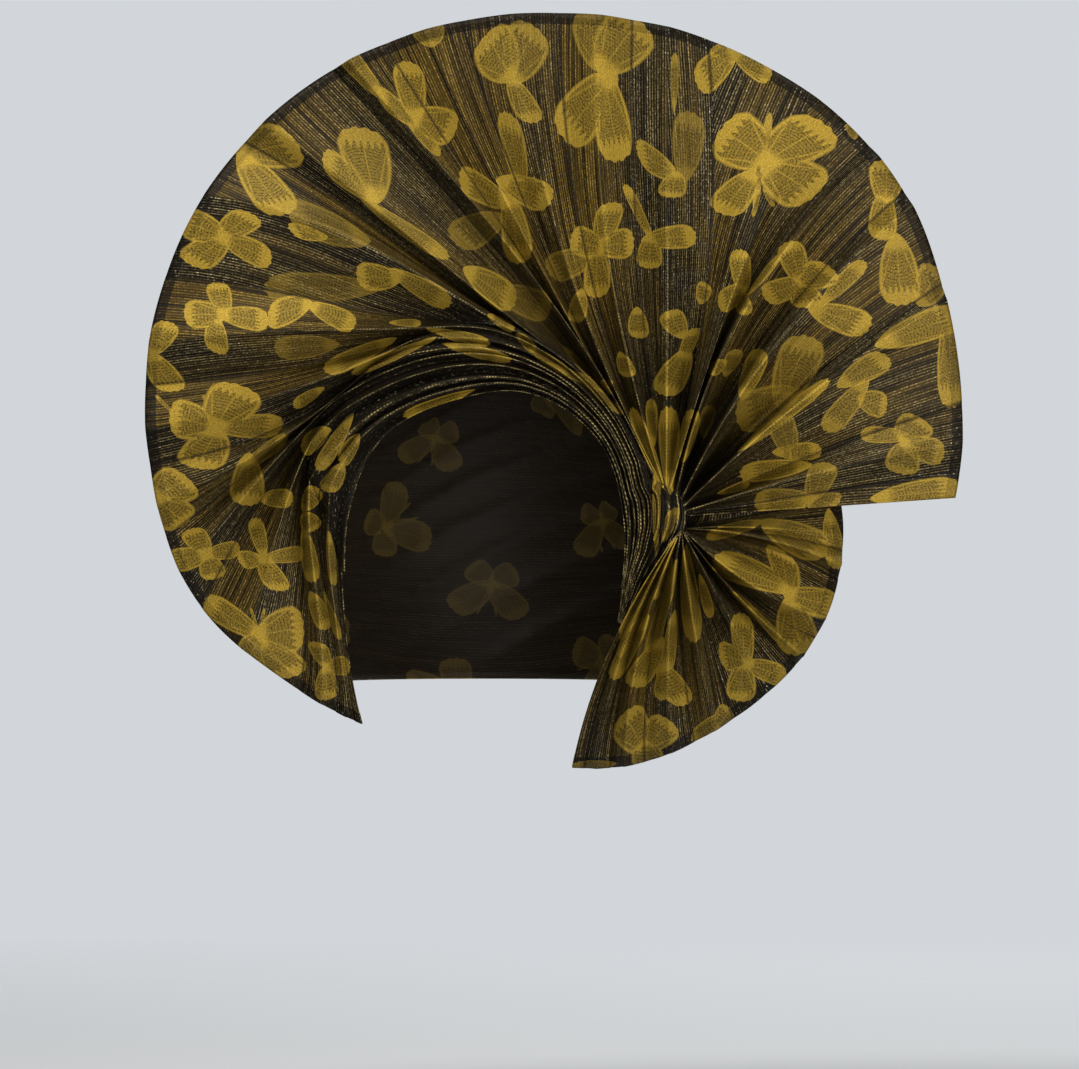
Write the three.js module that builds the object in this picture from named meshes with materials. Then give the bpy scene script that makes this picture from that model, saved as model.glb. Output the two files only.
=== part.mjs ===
// A tied gele head tie, ready to wear: stiff figured cloth folded into a band round the face,
// opened into a tall pleated fan over the forehead, and pinched together at one temple, from
// where a smaller pleated fan hangs beside the jaw. A wrap of the same cloth covers the crown.
// Millimetres, +Z up. The origin is the middle of the head hollow at the level of the temples.
// The face looks along -Y, and +X is the right-hand side of someone who stands before it.
// "Depth" is a place along Y: more negative is nearer to that onlooker.

import * as THREE from "three";

// Driving dimensions
const CLOTH_WALL = 2.2; // front to back, so that the cloth's steep fold sides stay over 1 mm
const FAN_GAP = 1.8; // between the band's outer edge and the main fan that goes on from it
const BAND_RIDGES = 6; // main folds across the band
const BAND_RIDGE_SHARE = 0.045; // ridge height as a share of the band's width
const BAND_BULGE_SHARE = 0.3; // how far the band rolls forward, as a share of its width
const BAND_ENDS = { low: -30, high: 191 }; // degrees round the face
const PINCH = { x: 91.7, z: 8 }; // where the folds of both fans meet
const LOWER_ROOT_RADIUS = 5; // where the lower fan's folds leave the pinch
const LOWER_SWEEP = 2.2; // power of the lower fan's sweep back behind the jaw
const CROWN_CENTRE = new THREE.Vector3(0, 10, 0);
const CROWN_HALF = new THREE.Vector3(78, 90, 101); // half width, half length, height over the centre
const CROWN_WALL = 1.6;
const CROWN_FOLDS = { count: 7, height: 1.1, slant: 0.55 };
const NAPE = { halfWidth: 72.1, reach: 98, height: -65, cornerDeg: 3 };
const HEM_CENTRE = { x: 31.5, z: 58.8 };

// Edge of the cloth round the face, as an angle and radius about the origin in the front view.
const RIM = [
  { deg: -69, radius: 113, depth: 8 },
  { deg: -45, radius: 82, depth: -18 },
  { deg: -20, radius: 68, depth: -40 },
  { deg: 10, radius: 66, depth: -46 },
  { deg: 45, radius: 72.5, depth: -52 },
  { deg: 75, radius: 73.5, depth: -68 },
  { deg: 100, radius: 69, depth: -69 },
  { deg: 135, radius: 69, depth: -54 },
  { deg: 165, radius: 65.3, depth: -46 },
  { deg: 195, radius: 68, depth: -40 },
  { deg: 215, radius: 78, depth: -25 },
  { deg: 236, radius: 102, depth: 2 },
];

// Outer edge of the band, along which the folds leave it to open into the main fan.
const BAND_EDGE = [
  { deg: -30, radius: 74.5, depth: -32 },
  { deg: -10, radius: 82, depth: -40 },
  { deg: 0, radius: 91, depth: -43 },
  { deg: 8.2, radius: 95.5, depth: -45 },
  { deg: 11, radius: 94.8, depth: -46 },
  { deg: 14.9, radius: 92.8, depth: -48 },
  { deg: 16.9, radius: 90.8, depth: -49 },
  { deg: 18.4, radius: 88.4, depth: -50 },
  { deg: 19.6, radius: 86.8, depth: -50 },
  { deg: 22, radius: 85.2, depth: -50 },
  { deg: 30, radius: 84.4, depth: -50 },
  { deg: 38, radius: 86, depth: -50 },
  { deg: 48, radius: 89, depth: -52 },
  { deg: 68, radius: 96, depth: -60 },
  { deg: 96, radius: 104, depth: -63 },
  { deg: 118, radius: 99, depth: -57 },
  { deg: 144, radius: 96, depth: -46 },
  { deg: 156, radius: 91, depth: -43 },
  { deg: 168, radius: 77, depth: -42 },
  { deg: 190, radius: 71.5, depth: -38 },
  { deg: 205, radius: 75.5, depth: -30 },
  { deg: 220, radius: 85, depth: -18 },
  { deg: 236, radius: 104, depth: 2 },
];

// Hem of the main fan, as an angle and radius about the hem's own centre.
const HEM = [
  { deg: -11, radius: 193.6, depth: -16 },
  { deg: 18, radius: 194.6, depth: -13 },
  { deg: 31, radius: 198, depth: -10 },
  { deg: 60, radius: 195.5, depth: -7 },
  { deg: 85, radius: 192.6, depth: -8 },
  { deg: 128, radius: 195, depth: -20 },
  { deg: 160, radius: 193.4, depth: -33 },
  { deg: 186, radius: 190, depth: -32 },
  { deg: 208, radius: 187, depth: -25 },
  { deg: 222, radius: 177, depth: -23 },
  { deg: 239, radius: 168, depth: -22 },
];

// Creases of the main fan, from its free end over the pinch round to the far side of the jaw.
// hem: angle on the hem. root: angle on the band's edge. bow: sideways bend, to the left going
// outwards. rise: how far the crease stands forward (a crest) or back (a valley).
const FAN_CREASES = [
  { hem: -10.9, root: 8.2, bow: 0, rise: -1 },
  { hem: -7, root: 8.9, bow: 0, rise: -2 },
  { hem: -2.8, root: 9.6, bow: 2, rise: 4 },
  { hem: 2.5, root: 10.3, bow: 2, rise: -4 },
  { hem: 17.2, root: 11.1, bow: 4.4, rise: 6 },
  { hem: 19.2, root: 12, bow: 5, rise: -4 },
  { hem: 30.8, root: 12.9, bow: 10, rise: 6 },
  { hem: 32.9, root: 13.9, bow: 11, rise: -4 },
  { hem: 39, root: 14.9, bow: 13, rise: 6 },
  { hem: 41, root: 15.9, bow: 12, rise: -4 },
  { hem: 51, root: 16.9, bow: 5.5, rise: 4 },
  { hem: 67.8, root: 17.4, bow: -7, rise: -6 },
  { hem: 73.6, root: 17.9, bow: 0, rise: 4 },
  { hem: 78.7, root: 18.2, bow: 5, rise: -5 },
  { hem: 83.3, root: 18.5, bow: 11, rise: 4 },
  { hem: 88.9, root: 18.8, bow: 11, rise: -3 },
  { hem: 95.6, root: 19.1, bow: 6.5, rise: 4 },
  { hem: 102.7, root: 19.4, bow: 1.3, rise: -4 },
  { hem: 108, root: 19.7, bow: -2.6, rise: 3 },
  { hem: 114, root: 20.4, bow: -7.3, rise: -4 },
  { hem: 119.4, root: 21.5, bow: -11.4, rise: 6 },
  { hem: 122, root: 30, bow: -12, rise: -5 },
  { hem: 128, root: 46, bow: -10, rise: 0 },
  { hem: 133.8, root: 60, bow: -5, rise: 5 },
  { hem: 137.8, root: 72, bow: 0, rise: -5 },
  { hem: 147.2, root: 84, bow: -9, rise: 5 },
  { hem: 159.5, root: 95, bow: 0, rise: -5 },
  { hem: 169.4, root: 101, bow: -2, rise: 4 },
  { hem: 175.1, root: 105.5, bow: 4, rise: -5 },
  { hem: 181.4, root: 110, bow: 4, rise: 5 },
  { hem: 186.4, root: 117, bow: 9, rise: -5 },
  { hem: 192.2, root: 123, bow: 5, rise: 4 },
  { hem: 196.8, root: 130, bow: 1, rise: -5 },
  { hem: 202.6, root: 136, bow: -2, rise: 4 },
  { hem: 208.1, root: 143, bow: -4, rise: -5 },
  { hem: 217, root: 149, bow: -2, rise: 5 },
  { hem: 227.1, root: 155, bow: 0, rise: -5 },
  { hem: 231, root: 159.5, bow: 0, rise: 4 },
  { hem: 233.6, root: 165, bow: 0, rise: -2 },
  { hem: 235.4, root: 172, bow: -1, rise: 2 },
  { hem: 236.8, root: 181, bow: -2, rise: -1 },
  { hem: 238, root: 191, bow: -2, rise: 1 },
];

// Share of a crease's rise at the band, where it opens most, and at the hem.
const FAN_SWELL = [
  { along: 0, share: 0.3 },
  { along: 0.15, share: 0.9 },
  { along: 0.4, share: 1 },
  { along: 1, share: 0.6 },
];

// Creases of the lower fan, about the pinch: direction, reach to the hem, sideways bend,
// rise as in the main fan, and depth at the pinch and at the hem.
const LOWER_CREASES = [
  { deg: 10, reach: 77, bow: 0, rise: -2, rootDepth: -34, endDepth: -6 },
  { deg: -3, reach: 77, bow: 2, rise: 2, rootDepth: -38, endDepth: -9 },
  { deg: -8, reach: 77.3, bow: 3, rise: -1, rootDepth: -40, endDepth: -10 },
  { deg: -13, reach: 78, bow: 4, rise: 4, rootDepth: -42, endDepth: -12 },
  { deg: -18, reach: 78.5, bow: 4, rise: -5, rootDepth: -46, endDepth: -13 },
  { deg: -32, reach: 80.6, bow: -5, rise: 6, rootDepth: -48, endDepth: -15 },
  { deg: -39, reach: 82, bow: -6, rise: -4, rootDepth: -49, endDepth: -15 },
  { deg: -46, reach: 83.6, bow: -3, rise: 5, rootDepth: -50, endDepth: -15 },
  { deg: -50, reach: 84.5, bow: -2, rise: -4, rootDepth: -51, endDepth: -15 },
  { deg: -62, reach: 87.5, bow: 0, rise: 3, rootDepth: -52, endDepth: -14 },
  { deg: -74.5, reach: 93.3, bow: -1, rise: -5, rootDepth: -54, endDepth: -12 },
  { deg: -80, reach: 96.8, bow: -2, rise: 4, rootDepth: -55, endDepth: -10 },
  { deg: -86, reach: 101, bow: -3, rise: -4, rootDepth: -56, endDepth: -7 },
  { deg: -92, reach: 106, bow: -4, rise: 4, rootDepth: -57, endDepth: -3 },
  { deg: -98.5, reach: 111.7, bow: -5, rise: -4, rootDepth: -57, endDepth: 0 },
  { deg: -103, reach: 115.5, bow: -6, rise: 4, rootDepth: -58, endDepth: 2 },
  { deg: -106, reach: 117.8, bow: -6.5, rise: -3, rootDepth: -58, endDepth: 4 },
  { deg: -109, reach: 120.2, bow: -7, rise: 3, rootDepth: -58, endDepth: 6 },
  { deg: -111.5, reach: 122, bow: -7, rise: -2, rootDepth: -58, endDepth: 7 },
  { deg: -114.1, reach: 124, bow: -7, rise: 1, rootDepth: -58, endDepth: 8 },
];

// Front edge of the crown wrap, behind the band, from one side of the jaw over to the other.
const CROWN_EDGE = [
  { deg: -42, radius: 97, depth: 0 },
  { deg: -20, radius: 80, depth: -24 },
  { deg: 8, radius: 86, depth: -24 },
  { deg: 28, radius: 88, depth: -20 },
  { deg: 45, radius: 82, depth: -32 },
  { deg: 70, radius: 92, depth: -52 },
  { deg: 96, radius: 99, depth: -58 },
  { deg: 120, radius: 94, depth: -51 },
  { deg: 150, radius: 88, depth: -39 },
  { deg: 175, radius: 76, depth: -33 },
  { deg: 200, radius: 77, depth: -26 },
  { deg: 222, radius: 95, depth: -7 },
];

// Grid steps of each wall
const FAN_STEPS = { perPanel: 2, along: 10 };
const BAND_STEPS = { round: 36, perRidge: 3 };
const LOWER_STEPS = { perPanel: 2, along: 9 };
const CROWN_STEPS = { front: 32, back: 14, along: 10 };

const { degToRad, lerp, clamp } = THREE.MathUtils;

// A smooth curve through one column of a table.
function reader(rows, key, column) {
  const at = Float32Array.from(rows, (row) => row[key]);
  const curve = new THREE.CubicInterpolant(at, Float32Array.from(rows, (row) => row[column]), 1);
  return (x) => curve.evaluate(clamp(x, at[0], at[at.length - 1]))[0];
}

const rimRadius = reader(RIM, "deg", "radius");
const rimDepth = reader(RIM, "deg", "depth");
const bandRadius = reader(BAND_EDGE, "deg", "radius");
const bandDepth = reader(BAND_EDGE, "deg", "depth");
const hemRadius = reader(HEM, "deg", "radius");
const hemDepth = reader(HEM, "deg", "depth");
const swell = reader(FAN_SWELL, "along", "share");
const crownRadius = reader(CROWN_EDGE, "deg", "radius");
const crownDepth = reader(CROWN_EDGE, "deg", "depth");

// A point of the front view, X across and Y up, at an angle and radius about a centre.
function polar(deg, radius, centre = { x: 0, z: 0 }) {
  const angle = degToRad(deg);
  return new THREE.Vector2(centre.x + radius * Math.cos(angle), centre.z + radius * Math.sin(angle));
}

// The front-view line of a crease from its root to its hem, bent sideways by its bow.
function creaseLine(root, hem, bow) {
  const left = new THREE.Vector2(root.y - hem.y, hem.x - root.x).normalize();
  const middle = root.clone().lerp(hem, 0.5).addScaledVector(left, 2 * bow);
  return new THREE.QuadraticBezierCurve(root, middle, hem);
}

// A row between two neighbours of a table, every column shared out in the same way.
function rowBetween(rows, across) {
  const first = clamp(Math.floor(across), 0, rows.length - 2);
  const [low, high] = [rows[first], rows[first + 1]];
  const columns = Object.keys(low).map((key) => [key, lerp(low[key], high[key], across - first)]);
  return Object.fromEntries(columns);
}

function fanCrease({ hem, root, bow, rise }) {
  const from = polar(root, bandRadius(root) + FAN_GAP);
  const line = creaseLine(from, polar(hem, hemRadius(hem), HEM_CENTRE), bow);
  return (along) => {
    const place = line.getPoint(along);
    const depth = lerp(bandDepth(root), hemDepth(hem), along) - rise * swell(along);
    return new THREE.Vector3(place.x, depth, place.y);
  };
}

function lowerCrease({ deg, reach, bow, rise, rootDepth, endDepth }) {
  const line = creaseLine(polar(deg, LOWER_ROOT_RADIUS, PINCH), polar(deg, reach, PINCH), bow);
  return (along) => {
    const place = line.getPoint(along);
    const depth = lerp(rootDepth, endDepth, along ** LOWER_SWEEP) - rise * swell(along);
    return new THREE.Vector3(place.x, depth, place.y);
  };
}

// The band's middle surface: rolled forward between the face and the fan, with ridges along it.
function bandPoint(deg, across) {
  const width = bandRadius(deg) - rimRadius(deg);
  const place = polar(deg, rimRadius(deg) + width * across);
  const roll = BAND_BULGE_SHARE * width * 4 * across * (1 - across);
  const ridge = BAND_RIDGE_SHARE * width * Math.cos(2 * Math.PI * BAND_RIDGES * across);
  return new THREE.Vector3(place.x, lerp(rimDepth(deg), bandDepth(deg), across) - roll - ridge, place.y);
}

// The crown wrap's free edge as a closed loop: the front edge first, then the nape.
function crownEdge(step) {
  if (step <= CROWN_STEPS.front) {
    const deg = lerp(CROWN_EDGE[0].deg, CROWN_EDGE.at(-1).deg, step / CROWN_STEPS.front);
    const place = polar(deg, crownRadius(deg));
    return new THREE.Vector3(place.x, crownDepth(deg), place.y);
  }
  const share = (step - CROWN_STEPS.front) / CROWN_STEPS.back;
  const angle = degToRad(lerp(180 - NAPE.cornerDeg, NAPE.cornerDeg, share));
  return new THREE.Vector3(NAPE.halfWidth * Math.cos(angle), NAPE.reach * Math.sin(angle), NAPE.height);
}

// Distance from the crown's centre to its domed outside, in a direction.
function domeRadius(direction) {
  return 1 / direction.clone().divide(CROWN_HALF).length();
}

// A point of the crown wrap: a dome seen from its centre, swept from the top to the free edge,
// with slanting wrapped folds that fade out at both.
function crownPoint(step, along, inset) {
  const top = new THREE.Vector3(0, 0, 1);
  const edge = crownEdge(step).sub(CROWN_CENTRE);
  const edgeRadius = edge.length();
  const turn = new THREE.Quaternion().setFromUnitVectors(top, edge.normalize());
  const direction = top.clone().applyQuaternion(new THREE.Quaternion().slerp(turn, along));
  const reach = domeRadius(direction) + (edgeRadius - domeRadius(edge)) * along ** 3;
  const phase = direction.z - CROWN_FOLDS.slant * direction.x;
  const fade = Math.sin(Math.PI * along);
  const fold = CROWN_FOLDS.height * fade * Math.cos(Math.PI * CROWN_FOLDS.count * phase);
  return direction.multiplyScalar(reach + fold - inset).add(CROWN_CENTRE);
}

// A closed wall between two grids of points. round joins the last column to the first, and a
// first row that is one point, as at the top of a dome, needs no end strip.
function wall(columns, rows, front, back, round = false) {
  const across = columns + 1;
  const points = [];
  for (const side of [front, back])
    for (let row = 0; row <= rows; row++)
      for (let column = 0; column <= columns; column++) points.push(side(column, row));
  const at = (side, column, row) => side * across * (rows + 1) + row * across + column;
  const triangles = [];
  const quad = (a, b, c, d) => triangles.push([a, b, c], [a, c, d]);
  for (let row = 0; row < rows; row++)
    for (let column = 0; column < columns; column++)
      for (const side of [0, 1]) {
        const [left, right] = side ? [column + 1, column] : [column, column + 1];
        quad(at(side, left, row), at(side, right, row), at(side, right, row + 1), at(side, left, row + 1));
      }
  for (let column = 0; column < columns; column++) {
    quad(at(1, column, 0), at(1, column + 1, 0), at(0, column + 1, 0), at(0, column, 0));
    quad(at(0, column, rows), at(0, column + 1, rows), at(1, column + 1, rows), at(1, column, rows));
  }
  for (let row = 0; row < rows && !round; row++) {
    quad(at(0, 0, row), at(0, 0, row + 1), at(1, 0, row + 1), at(1, 0, row));
    quad(at(1, columns, row), at(1, columns, row + 1), at(0, columns, row + 1), at(0, columns, row));
  }
  return closedGeometry(points, triangles);
}

// Twice the area of a triangle as a vector, and six times its share of the closed volume.
const areaVector = (a, b, c) => b.clone().sub(a).cross(c.clone().sub(a));
const volumeShare = (a, b, c) => a.dot(b.clone().cross(c));

// A geometry of the triangles that have an area, turned round if they face inwards.
function closedGeometry(points, triangles) {
  const least = 1e-6;
  const corners = triangles.map((triangle) => triangle.map((index) => points[index]));
  const kept = corners.filter((triangle) => areaVector(...triangle).length() > least);
  const volume = kept.reduce((sum, triangle) => sum + volumeShare(...triangle), 0);
  const facing = volume < 0 ? kept.map(([a, b, c]) => [a, c, b]) : kept;
  return new THREE.BufferGeometry().setFromPoints(facing.flat());
}

// The two faces of a wall that is thickened along Y about its middle surface.
const shifted = (point, depth) => point.add(new THREE.Vector3(0, depth, 0));
const frontOf = (middle) => (column, row) => shifted(middle(column, row), -CLOTH_WALL / 2);
const backOf = (middle) => (column, row) => shifted(middle(column, row), CLOTH_WALL / 2);

// A pleated wall through a table of creases, with a flat panel between each two.
function pleatedWall(rows, crease, steps) {
  const columns = (rows.length - 1) * steps.perPanel;
  const lines = Array.from({ length: columns + 1 }, (_, i) => crease(rowBetween(rows, i / steps.perPanel)));
  const middle = (column, row) => lines[column](row / steps.along);
  return wall(columns, steps.along, frontOf(middle), backOf(middle));
}

function bandGeometry() {
  const columns = BAND_RIDGES * BAND_STEPS.perRidge;
  const degAt = (row) => lerp(BAND_ENDS.low, BAND_ENDS.high, row / BAND_STEPS.round);
  const middle = (column, row) => bandPoint(degAt(row), column / columns);
  return wall(columns, BAND_STEPS.round, frontOf(middle), backOf(middle));
}

function crownGeometry() {
  const round = CROWN_STEPS.front + CROWN_STEPS.back;
  const side = (inset) => (column, row) => crownPoint(column % round, row / CROWN_STEPS.along, inset);
  return wall(round, CROWN_STEPS.along, side(0), side(CROWN_WALL), true);
}

const figuredCloth = new THREE.MeshStandardMaterial({ color: 0x4a3a16, roughness: 0.5, metalness: 0.35 });

function piece(name, geometry, material) {
  const mesh = new THREE.Mesh(geometry, material);
  mesh.name = name;
  return mesh;
}

const gele = new THREE.Group();
gele.add(
  piece("crown_wrap", crownGeometry(), figuredCloth),
  piece("face_band", bandGeometry(), figuredCloth),
  piece("main_fan", pleatedWall(FAN_CREASES, fanCrease, FAN_STEPS), figuredCloth),
  piece("lower_fan", pleatedWall(LOWER_CREASES, lowerCrease, LOWER_STEPS), figuredCloth),
);

export default gele;
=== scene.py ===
from functools import partial

import bpy
import numpy as np
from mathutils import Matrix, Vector


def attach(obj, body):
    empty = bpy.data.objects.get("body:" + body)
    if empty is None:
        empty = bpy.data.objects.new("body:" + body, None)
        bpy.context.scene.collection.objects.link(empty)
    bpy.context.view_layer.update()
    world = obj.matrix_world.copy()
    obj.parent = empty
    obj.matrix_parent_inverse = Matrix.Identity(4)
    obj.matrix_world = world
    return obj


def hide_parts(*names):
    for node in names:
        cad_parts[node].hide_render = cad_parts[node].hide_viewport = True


# A tied gele head tie: one stiff black and brown jacquard with gold butterflies, folded into a band
# round the face, opened into a pleated fan above it and into a smaller fan that hangs from a pinch at
# the temple. Sizes are millimetres in the CAD frame, angles degrees, and meshes are made in metres.
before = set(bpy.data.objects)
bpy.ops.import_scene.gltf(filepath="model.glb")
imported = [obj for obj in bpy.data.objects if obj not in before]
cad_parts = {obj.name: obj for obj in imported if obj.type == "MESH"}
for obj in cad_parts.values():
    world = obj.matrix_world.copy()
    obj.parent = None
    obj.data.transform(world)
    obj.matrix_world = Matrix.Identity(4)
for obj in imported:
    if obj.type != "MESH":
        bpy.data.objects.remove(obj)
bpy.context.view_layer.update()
MM = 0.001

# The photograph's frame
PHOTO_WIDTH = 1079
PHOTO_HEIGHT = 1069
ORIGIN_PIXEL = (485, 545)
MM_PER_PIXEL = 0.47
VIEW_DEPTH = -28.0  # depth of the plane at which that scale holds
CAMERA_DISTANCE = 4000.0  # from that plane
CAMERA_X = (PHOTO_WIDTH / 2 - ORIGIN_PIXEL[0]) * MM_PER_PIXEL
CAMERA_Z = (ORIGIN_PIXEL[1] - PHOTO_HEIGHT / 2) * MM_PER_PIXEL
SENSOR = 36.0

# Cloth
CLOTH_THICK = 0.45
HEM_THICK = 1.3
HEM_WIDTH = 5.4
HEM_RAMP = 0.4  # width over which the turned hem's thickness begins
CREASE_ROUND = 0.12  # 0 is a knife edge, 1 a soft wave
FAN_VALLEY = 0.16  # share of a fold's length at which its valley is deepest
LOWER_VALLEY = 0.26
FAN_RISE = 1.3  # how much more the cloth's folds stand out than the plain CAD folds
LOWER_RISE = 1.4
BAND_LOW = -30.0  # where the band starts, under the lower fan
BAND_BULGE = 0.3  # how far the band rolls forward, as a share of its width
BAND_TURN_IN = 24.0  # cloth turned in behind the band's inner edge
HEM_CENTRE = (31.5, 58.8)
PINCH = (91.7, 8.0)
LOWER_ROOT = 1.5
LOWER_SWEEP = 2.2
CROWN_CENTRE = np.array((0.0, 10.0, 0.0))
CROWN_HALF = np.array((78.0, 90.0, 101.0))
CROWN_THICK = 1.4
NAPE = {"half_width": 72.1, "reach": 98.0, "height": -65.0, "corner": 3.0}


def table(names, *rows):
    """A table as one array for each named column."""
    return dict(zip(names.split(), np.array(rows, float).T))


# Edge of the cloth round the face, about the origin in the front view
RIM = table(
    "deg radius depth",
    (-69, 113, 8), (-45, 82, -18), (-20, 68, -40), (10, 66, -46), (45, 72.5, -52), (75, 73.5, -68),
    (100, 69, -69), (135, 69, -54), (165, 65.3, -46), (195, 68, -40), (215, 78, -25), (236, 102, 2),
)

# Outer edge of the band, along which the folds leave it for the main fan: first across the pinch at
# the temple, where half of them part, then along the forehead
BAND_EDGE = table(
    "deg radius depth",
    (-30, 74.5, -32), (-10, 82, -40), (0, 91, -43), (8.2, 95.5, -45), (11, 94.8, -46), (14.9, 92.8, -48),
    (16.9, 90.8, -49), (18.4, 88.4, -50), (19.6, 86.8, -50), (22, 85.2, -50), (30, 84.4, -50),
    (38, 86, -50), (48, 89, -52), (68, 96, -60), (96, 104, -63), (118, 99, -57), (144, 96, -46),
    (156, 91, -43), (168, 77, -42), (191, 68.3, -39), (205, 73, -30), (220, 84, -18), (236, 104, 2),
)

# Hem of the main fan about its own centre
HEM = table(
    "deg radius depth",
    (-11, 193.6, -16), (18, 194.6, -13), (31, 198, -10), (60, 195.5, -7), (85, 192.6, -8), (128, 195, -20),
    (160, 193.4, -33), (186, 190, -32), (208, 187, -25), (222, 177, -23), (239, 168, -22),
)

# Creases of the main fan: angle on the hem, angle on the band's edge, sideways bend to the left going
# outwards, rise of a crest (or fall of a valley), how much deeper the valley is near the band, and how
# brown and golden the panel after it looks, from black with silver at 0 to brown gold at 1, partly the
# cloth's own tone and partly painted sheen and shade for the way the panel faces the light
FAN_CREASES = table(
    "hem root bow rise deep gold",
    (-10.9, 8.2, 0, -1, 0, 0.35), (-7, 8.9, 0, -2, 4, 0.35), (-2.8, 9.6, 2, 4, 0, 0.4),
    (2.5, 10.3, 2, -4, 12, 0.45), (17.2, 11.1, 4.4, 6, 0, 0.3), (19.2, 12, 5, -4, 20, 0.6),
    (30.8, 12.9, 10, 6, 0, 0.2), (32.9, 13.9, 11, -4, 20, 0.5), (39, 14.9, 17, 6, 0, 0.2),
    (41, 15.9, 16, -4, 18, 0.6), (51, 16.9, 4, 4, 0, 0.4), (67.8, 17.4, -10, -6, 14, 0.15),
    (73.6, 17.9, 0, 4, 0, 0.3), (78.7, 18.2, 5, -5, 8, 0.4), (83.3, 18.5, 11, 4, 0, 0.95),
    (88.9, 18.8, 12, -3, 6, 0.5), (95.6, 19.1, 11, 4, 0, 0.6), (102.7, 19.4, 7, -4, 8, 0.8),
    (108, 19.7, 3, 3, 0, 0.8), (114, 20.4, -2, -4, 8, 0.6), (119.4, 21.5, -9, 6, 0, 0.2),
    (122, 30, -7, -5, 10, 0.6), (133.8, 60, 1, 5, 0, 0.2), (137.8, 72, 0, -5, 7, 0.75),
    (147.2, 84, -9, 5, 0, 0.2), (159.5, 95, 0, -5, 7, 0.85), (169.4, 101, -2, 4, 0, 0.3),
    (175.1, 105.5, 4, -5, 7, 0.95), (181.4, 110, 4, 5, 0, 0.2), (186.4, 117, 9, -5, 7, 0.5),
    (192.2, 123, 5, 4, 0, 0.4), (196.8, 130, 1, -5, 7, 0.5), (202.6, 136, -2, 4, 0, 0.2),
    (208.1, 143, -4, -5, 7, 0.6), (217, 149, -2, 5, 0, 0.4), (227.1, 155, 0, -5, 6, 0.5),
    (231, 159.5, 0, 4, 0, 0.3), (233.6, 165, 0, -2, 3, 0.3), (235.4, 172, -1, 2, 0, 0.3),
    (236.8, 181, -2, -1, 1, 0.3), (238, 191, -2, 1, 0, 0.3),
)

# Share of a crease's rise along its length
SWELL = table("along share", (0, 0.3), (0.15, 0.9), (0.4, 1), (1, 0.6))

# Creases of the lower fan, about the pinch; the first lie behind the main fan's lower edge
LOWER_CREASES = table(
    "deg reach bow rise deep root_depth hem_depth gold",
    (85, 34, 0, -1, 0, -24, -8, 0.3), (10, 77, 0, -2, 3, -34, -6, 0.4), (-3, 77, 2, 2, 0, -38, -9, 0.5),
    (-8, 77.3, 3, -1, 3, -40, -10, 0.5), (-13, 78, 4, 4, 0, -42, -12, 0.6),
    (-18, 78.5, 4, -5, 10, -46, -13, 0.4), (-32, 80.6, -5, 6, 0, -48, -15, 0.3),
    (-39, 82, -6, -4, 9, -49, -15, 0.4), (-46, 83.6, -3, 5, 0, -50, -15, 0.6),
    (-50, 84.5, -2, -4, 7, -51, -15, 0.3), (-62, 87.5, 0, 3, 0, -52, -14, 0.3),
    (-74.5, 93.3, -1, -5, 8, -54, -12, 0.5), (-80, 96.8, -2, 4, 0, -55, -10, 0.5),
    (-86, 101, -3, -4, 7, -56, -7, 0.6), (-92, 106, -4, 4, 0, -57, -3, 0.5),
    (-98.5, 111.7, -5, -4, 6, -57, 0, 0.6), (-103, 115.5, -6, 4, 0, -58, 2, 0.6),
    (-106, 117.8, -6.5, -3, 4, -58, 4, 0.5), (-109, 120.2, -7, 3, 0, -58, 6, 0.5),
    (-111.5, 122, -7, -2, 2, -58, 7, 0.4), (-114.1, 124, -7, 1, 0, -58, 8, 0.3),
)

# Front edge of the crown wrap, behind the band
CROWN_EDGE = table(
    "deg radius depth",
    (-42, 97, 0), (-20, 80, -24), (8, 86, -24), (28, 88, -20), (45, 82, -32), (70, 92, -52),
    (96, 99, -58), (120, 94, -51), (150, 88, -39), (175, 76, -33), (200, 77, -26), (222, 95, -7),
)


def curve(columns, key, column):
    """A smooth curve through one column of a table."""
    at, value = columns[key], columns[column]
    slope = np.gradient(value, at)

    def read(x):
        x = np.clip(x, at[0], at[-1])
        i = np.clip(np.searchsorted(at, x, side="right") - 1, 0, len(at) - 2)
        width, rise = at[i + 1] - at[i], value[i + 1] - value[i]
        u = (x - at[i]) / width
        bend = (1 - u) * (slope[i] * width - rise) + u * (rise - slope[i + 1] * width)
        return value[i] + u * rise + u * (1 - u) * bend

    return read


rim_radius = curve(RIM, "deg", "radius")
rim_depth = curve(RIM, "deg", "depth")
band_radius = curve(BAND_EDGE, "deg", "radius")
band_depth = curve(BAND_EDGE, "deg", "depth")
hem_radius = curve(HEM, "deg", "radius")
hem_depth = curve(HEM, "deg", "depth")
swell = curve(SWELL, "along", "share")
crown_radius = curve(CROWN_EDGE, "deg", "radius")
crown_depth = curve(CROWN_EDGE, "deg", "depth")


def polar(deg, radius, centre=(0.0, 0.0)):
    """A point of the front view, across and up, as the last axis of an array."""
    angle = np.radians(deg)
    return np.stack((centre[0] + radius * np.cos(angle), centre[1] + radius * np.sin(angle)), -1)


def smoothstep(low, high, x):
    share = np.clip((x - low) / (high - low), 0, 1)
    return share * share * (3 - 2 * share)


def column_of(columns, name, crease):
    """A column of a crease table at any crease number, straight between the rows."""
    return np.interp(crease, np.arange(len(columns[name])), columns[name])


def fold_profile(columns, name, crease):
    """The same, with the turn at each crease a little rounded."""
    whole = np.floor(crease)
    part = crease - whole
    return column_of(columns, name, whole + part - CREASE_ROUND * np.sin(2 * np.pi * part) / (2 * np.pi))


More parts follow.
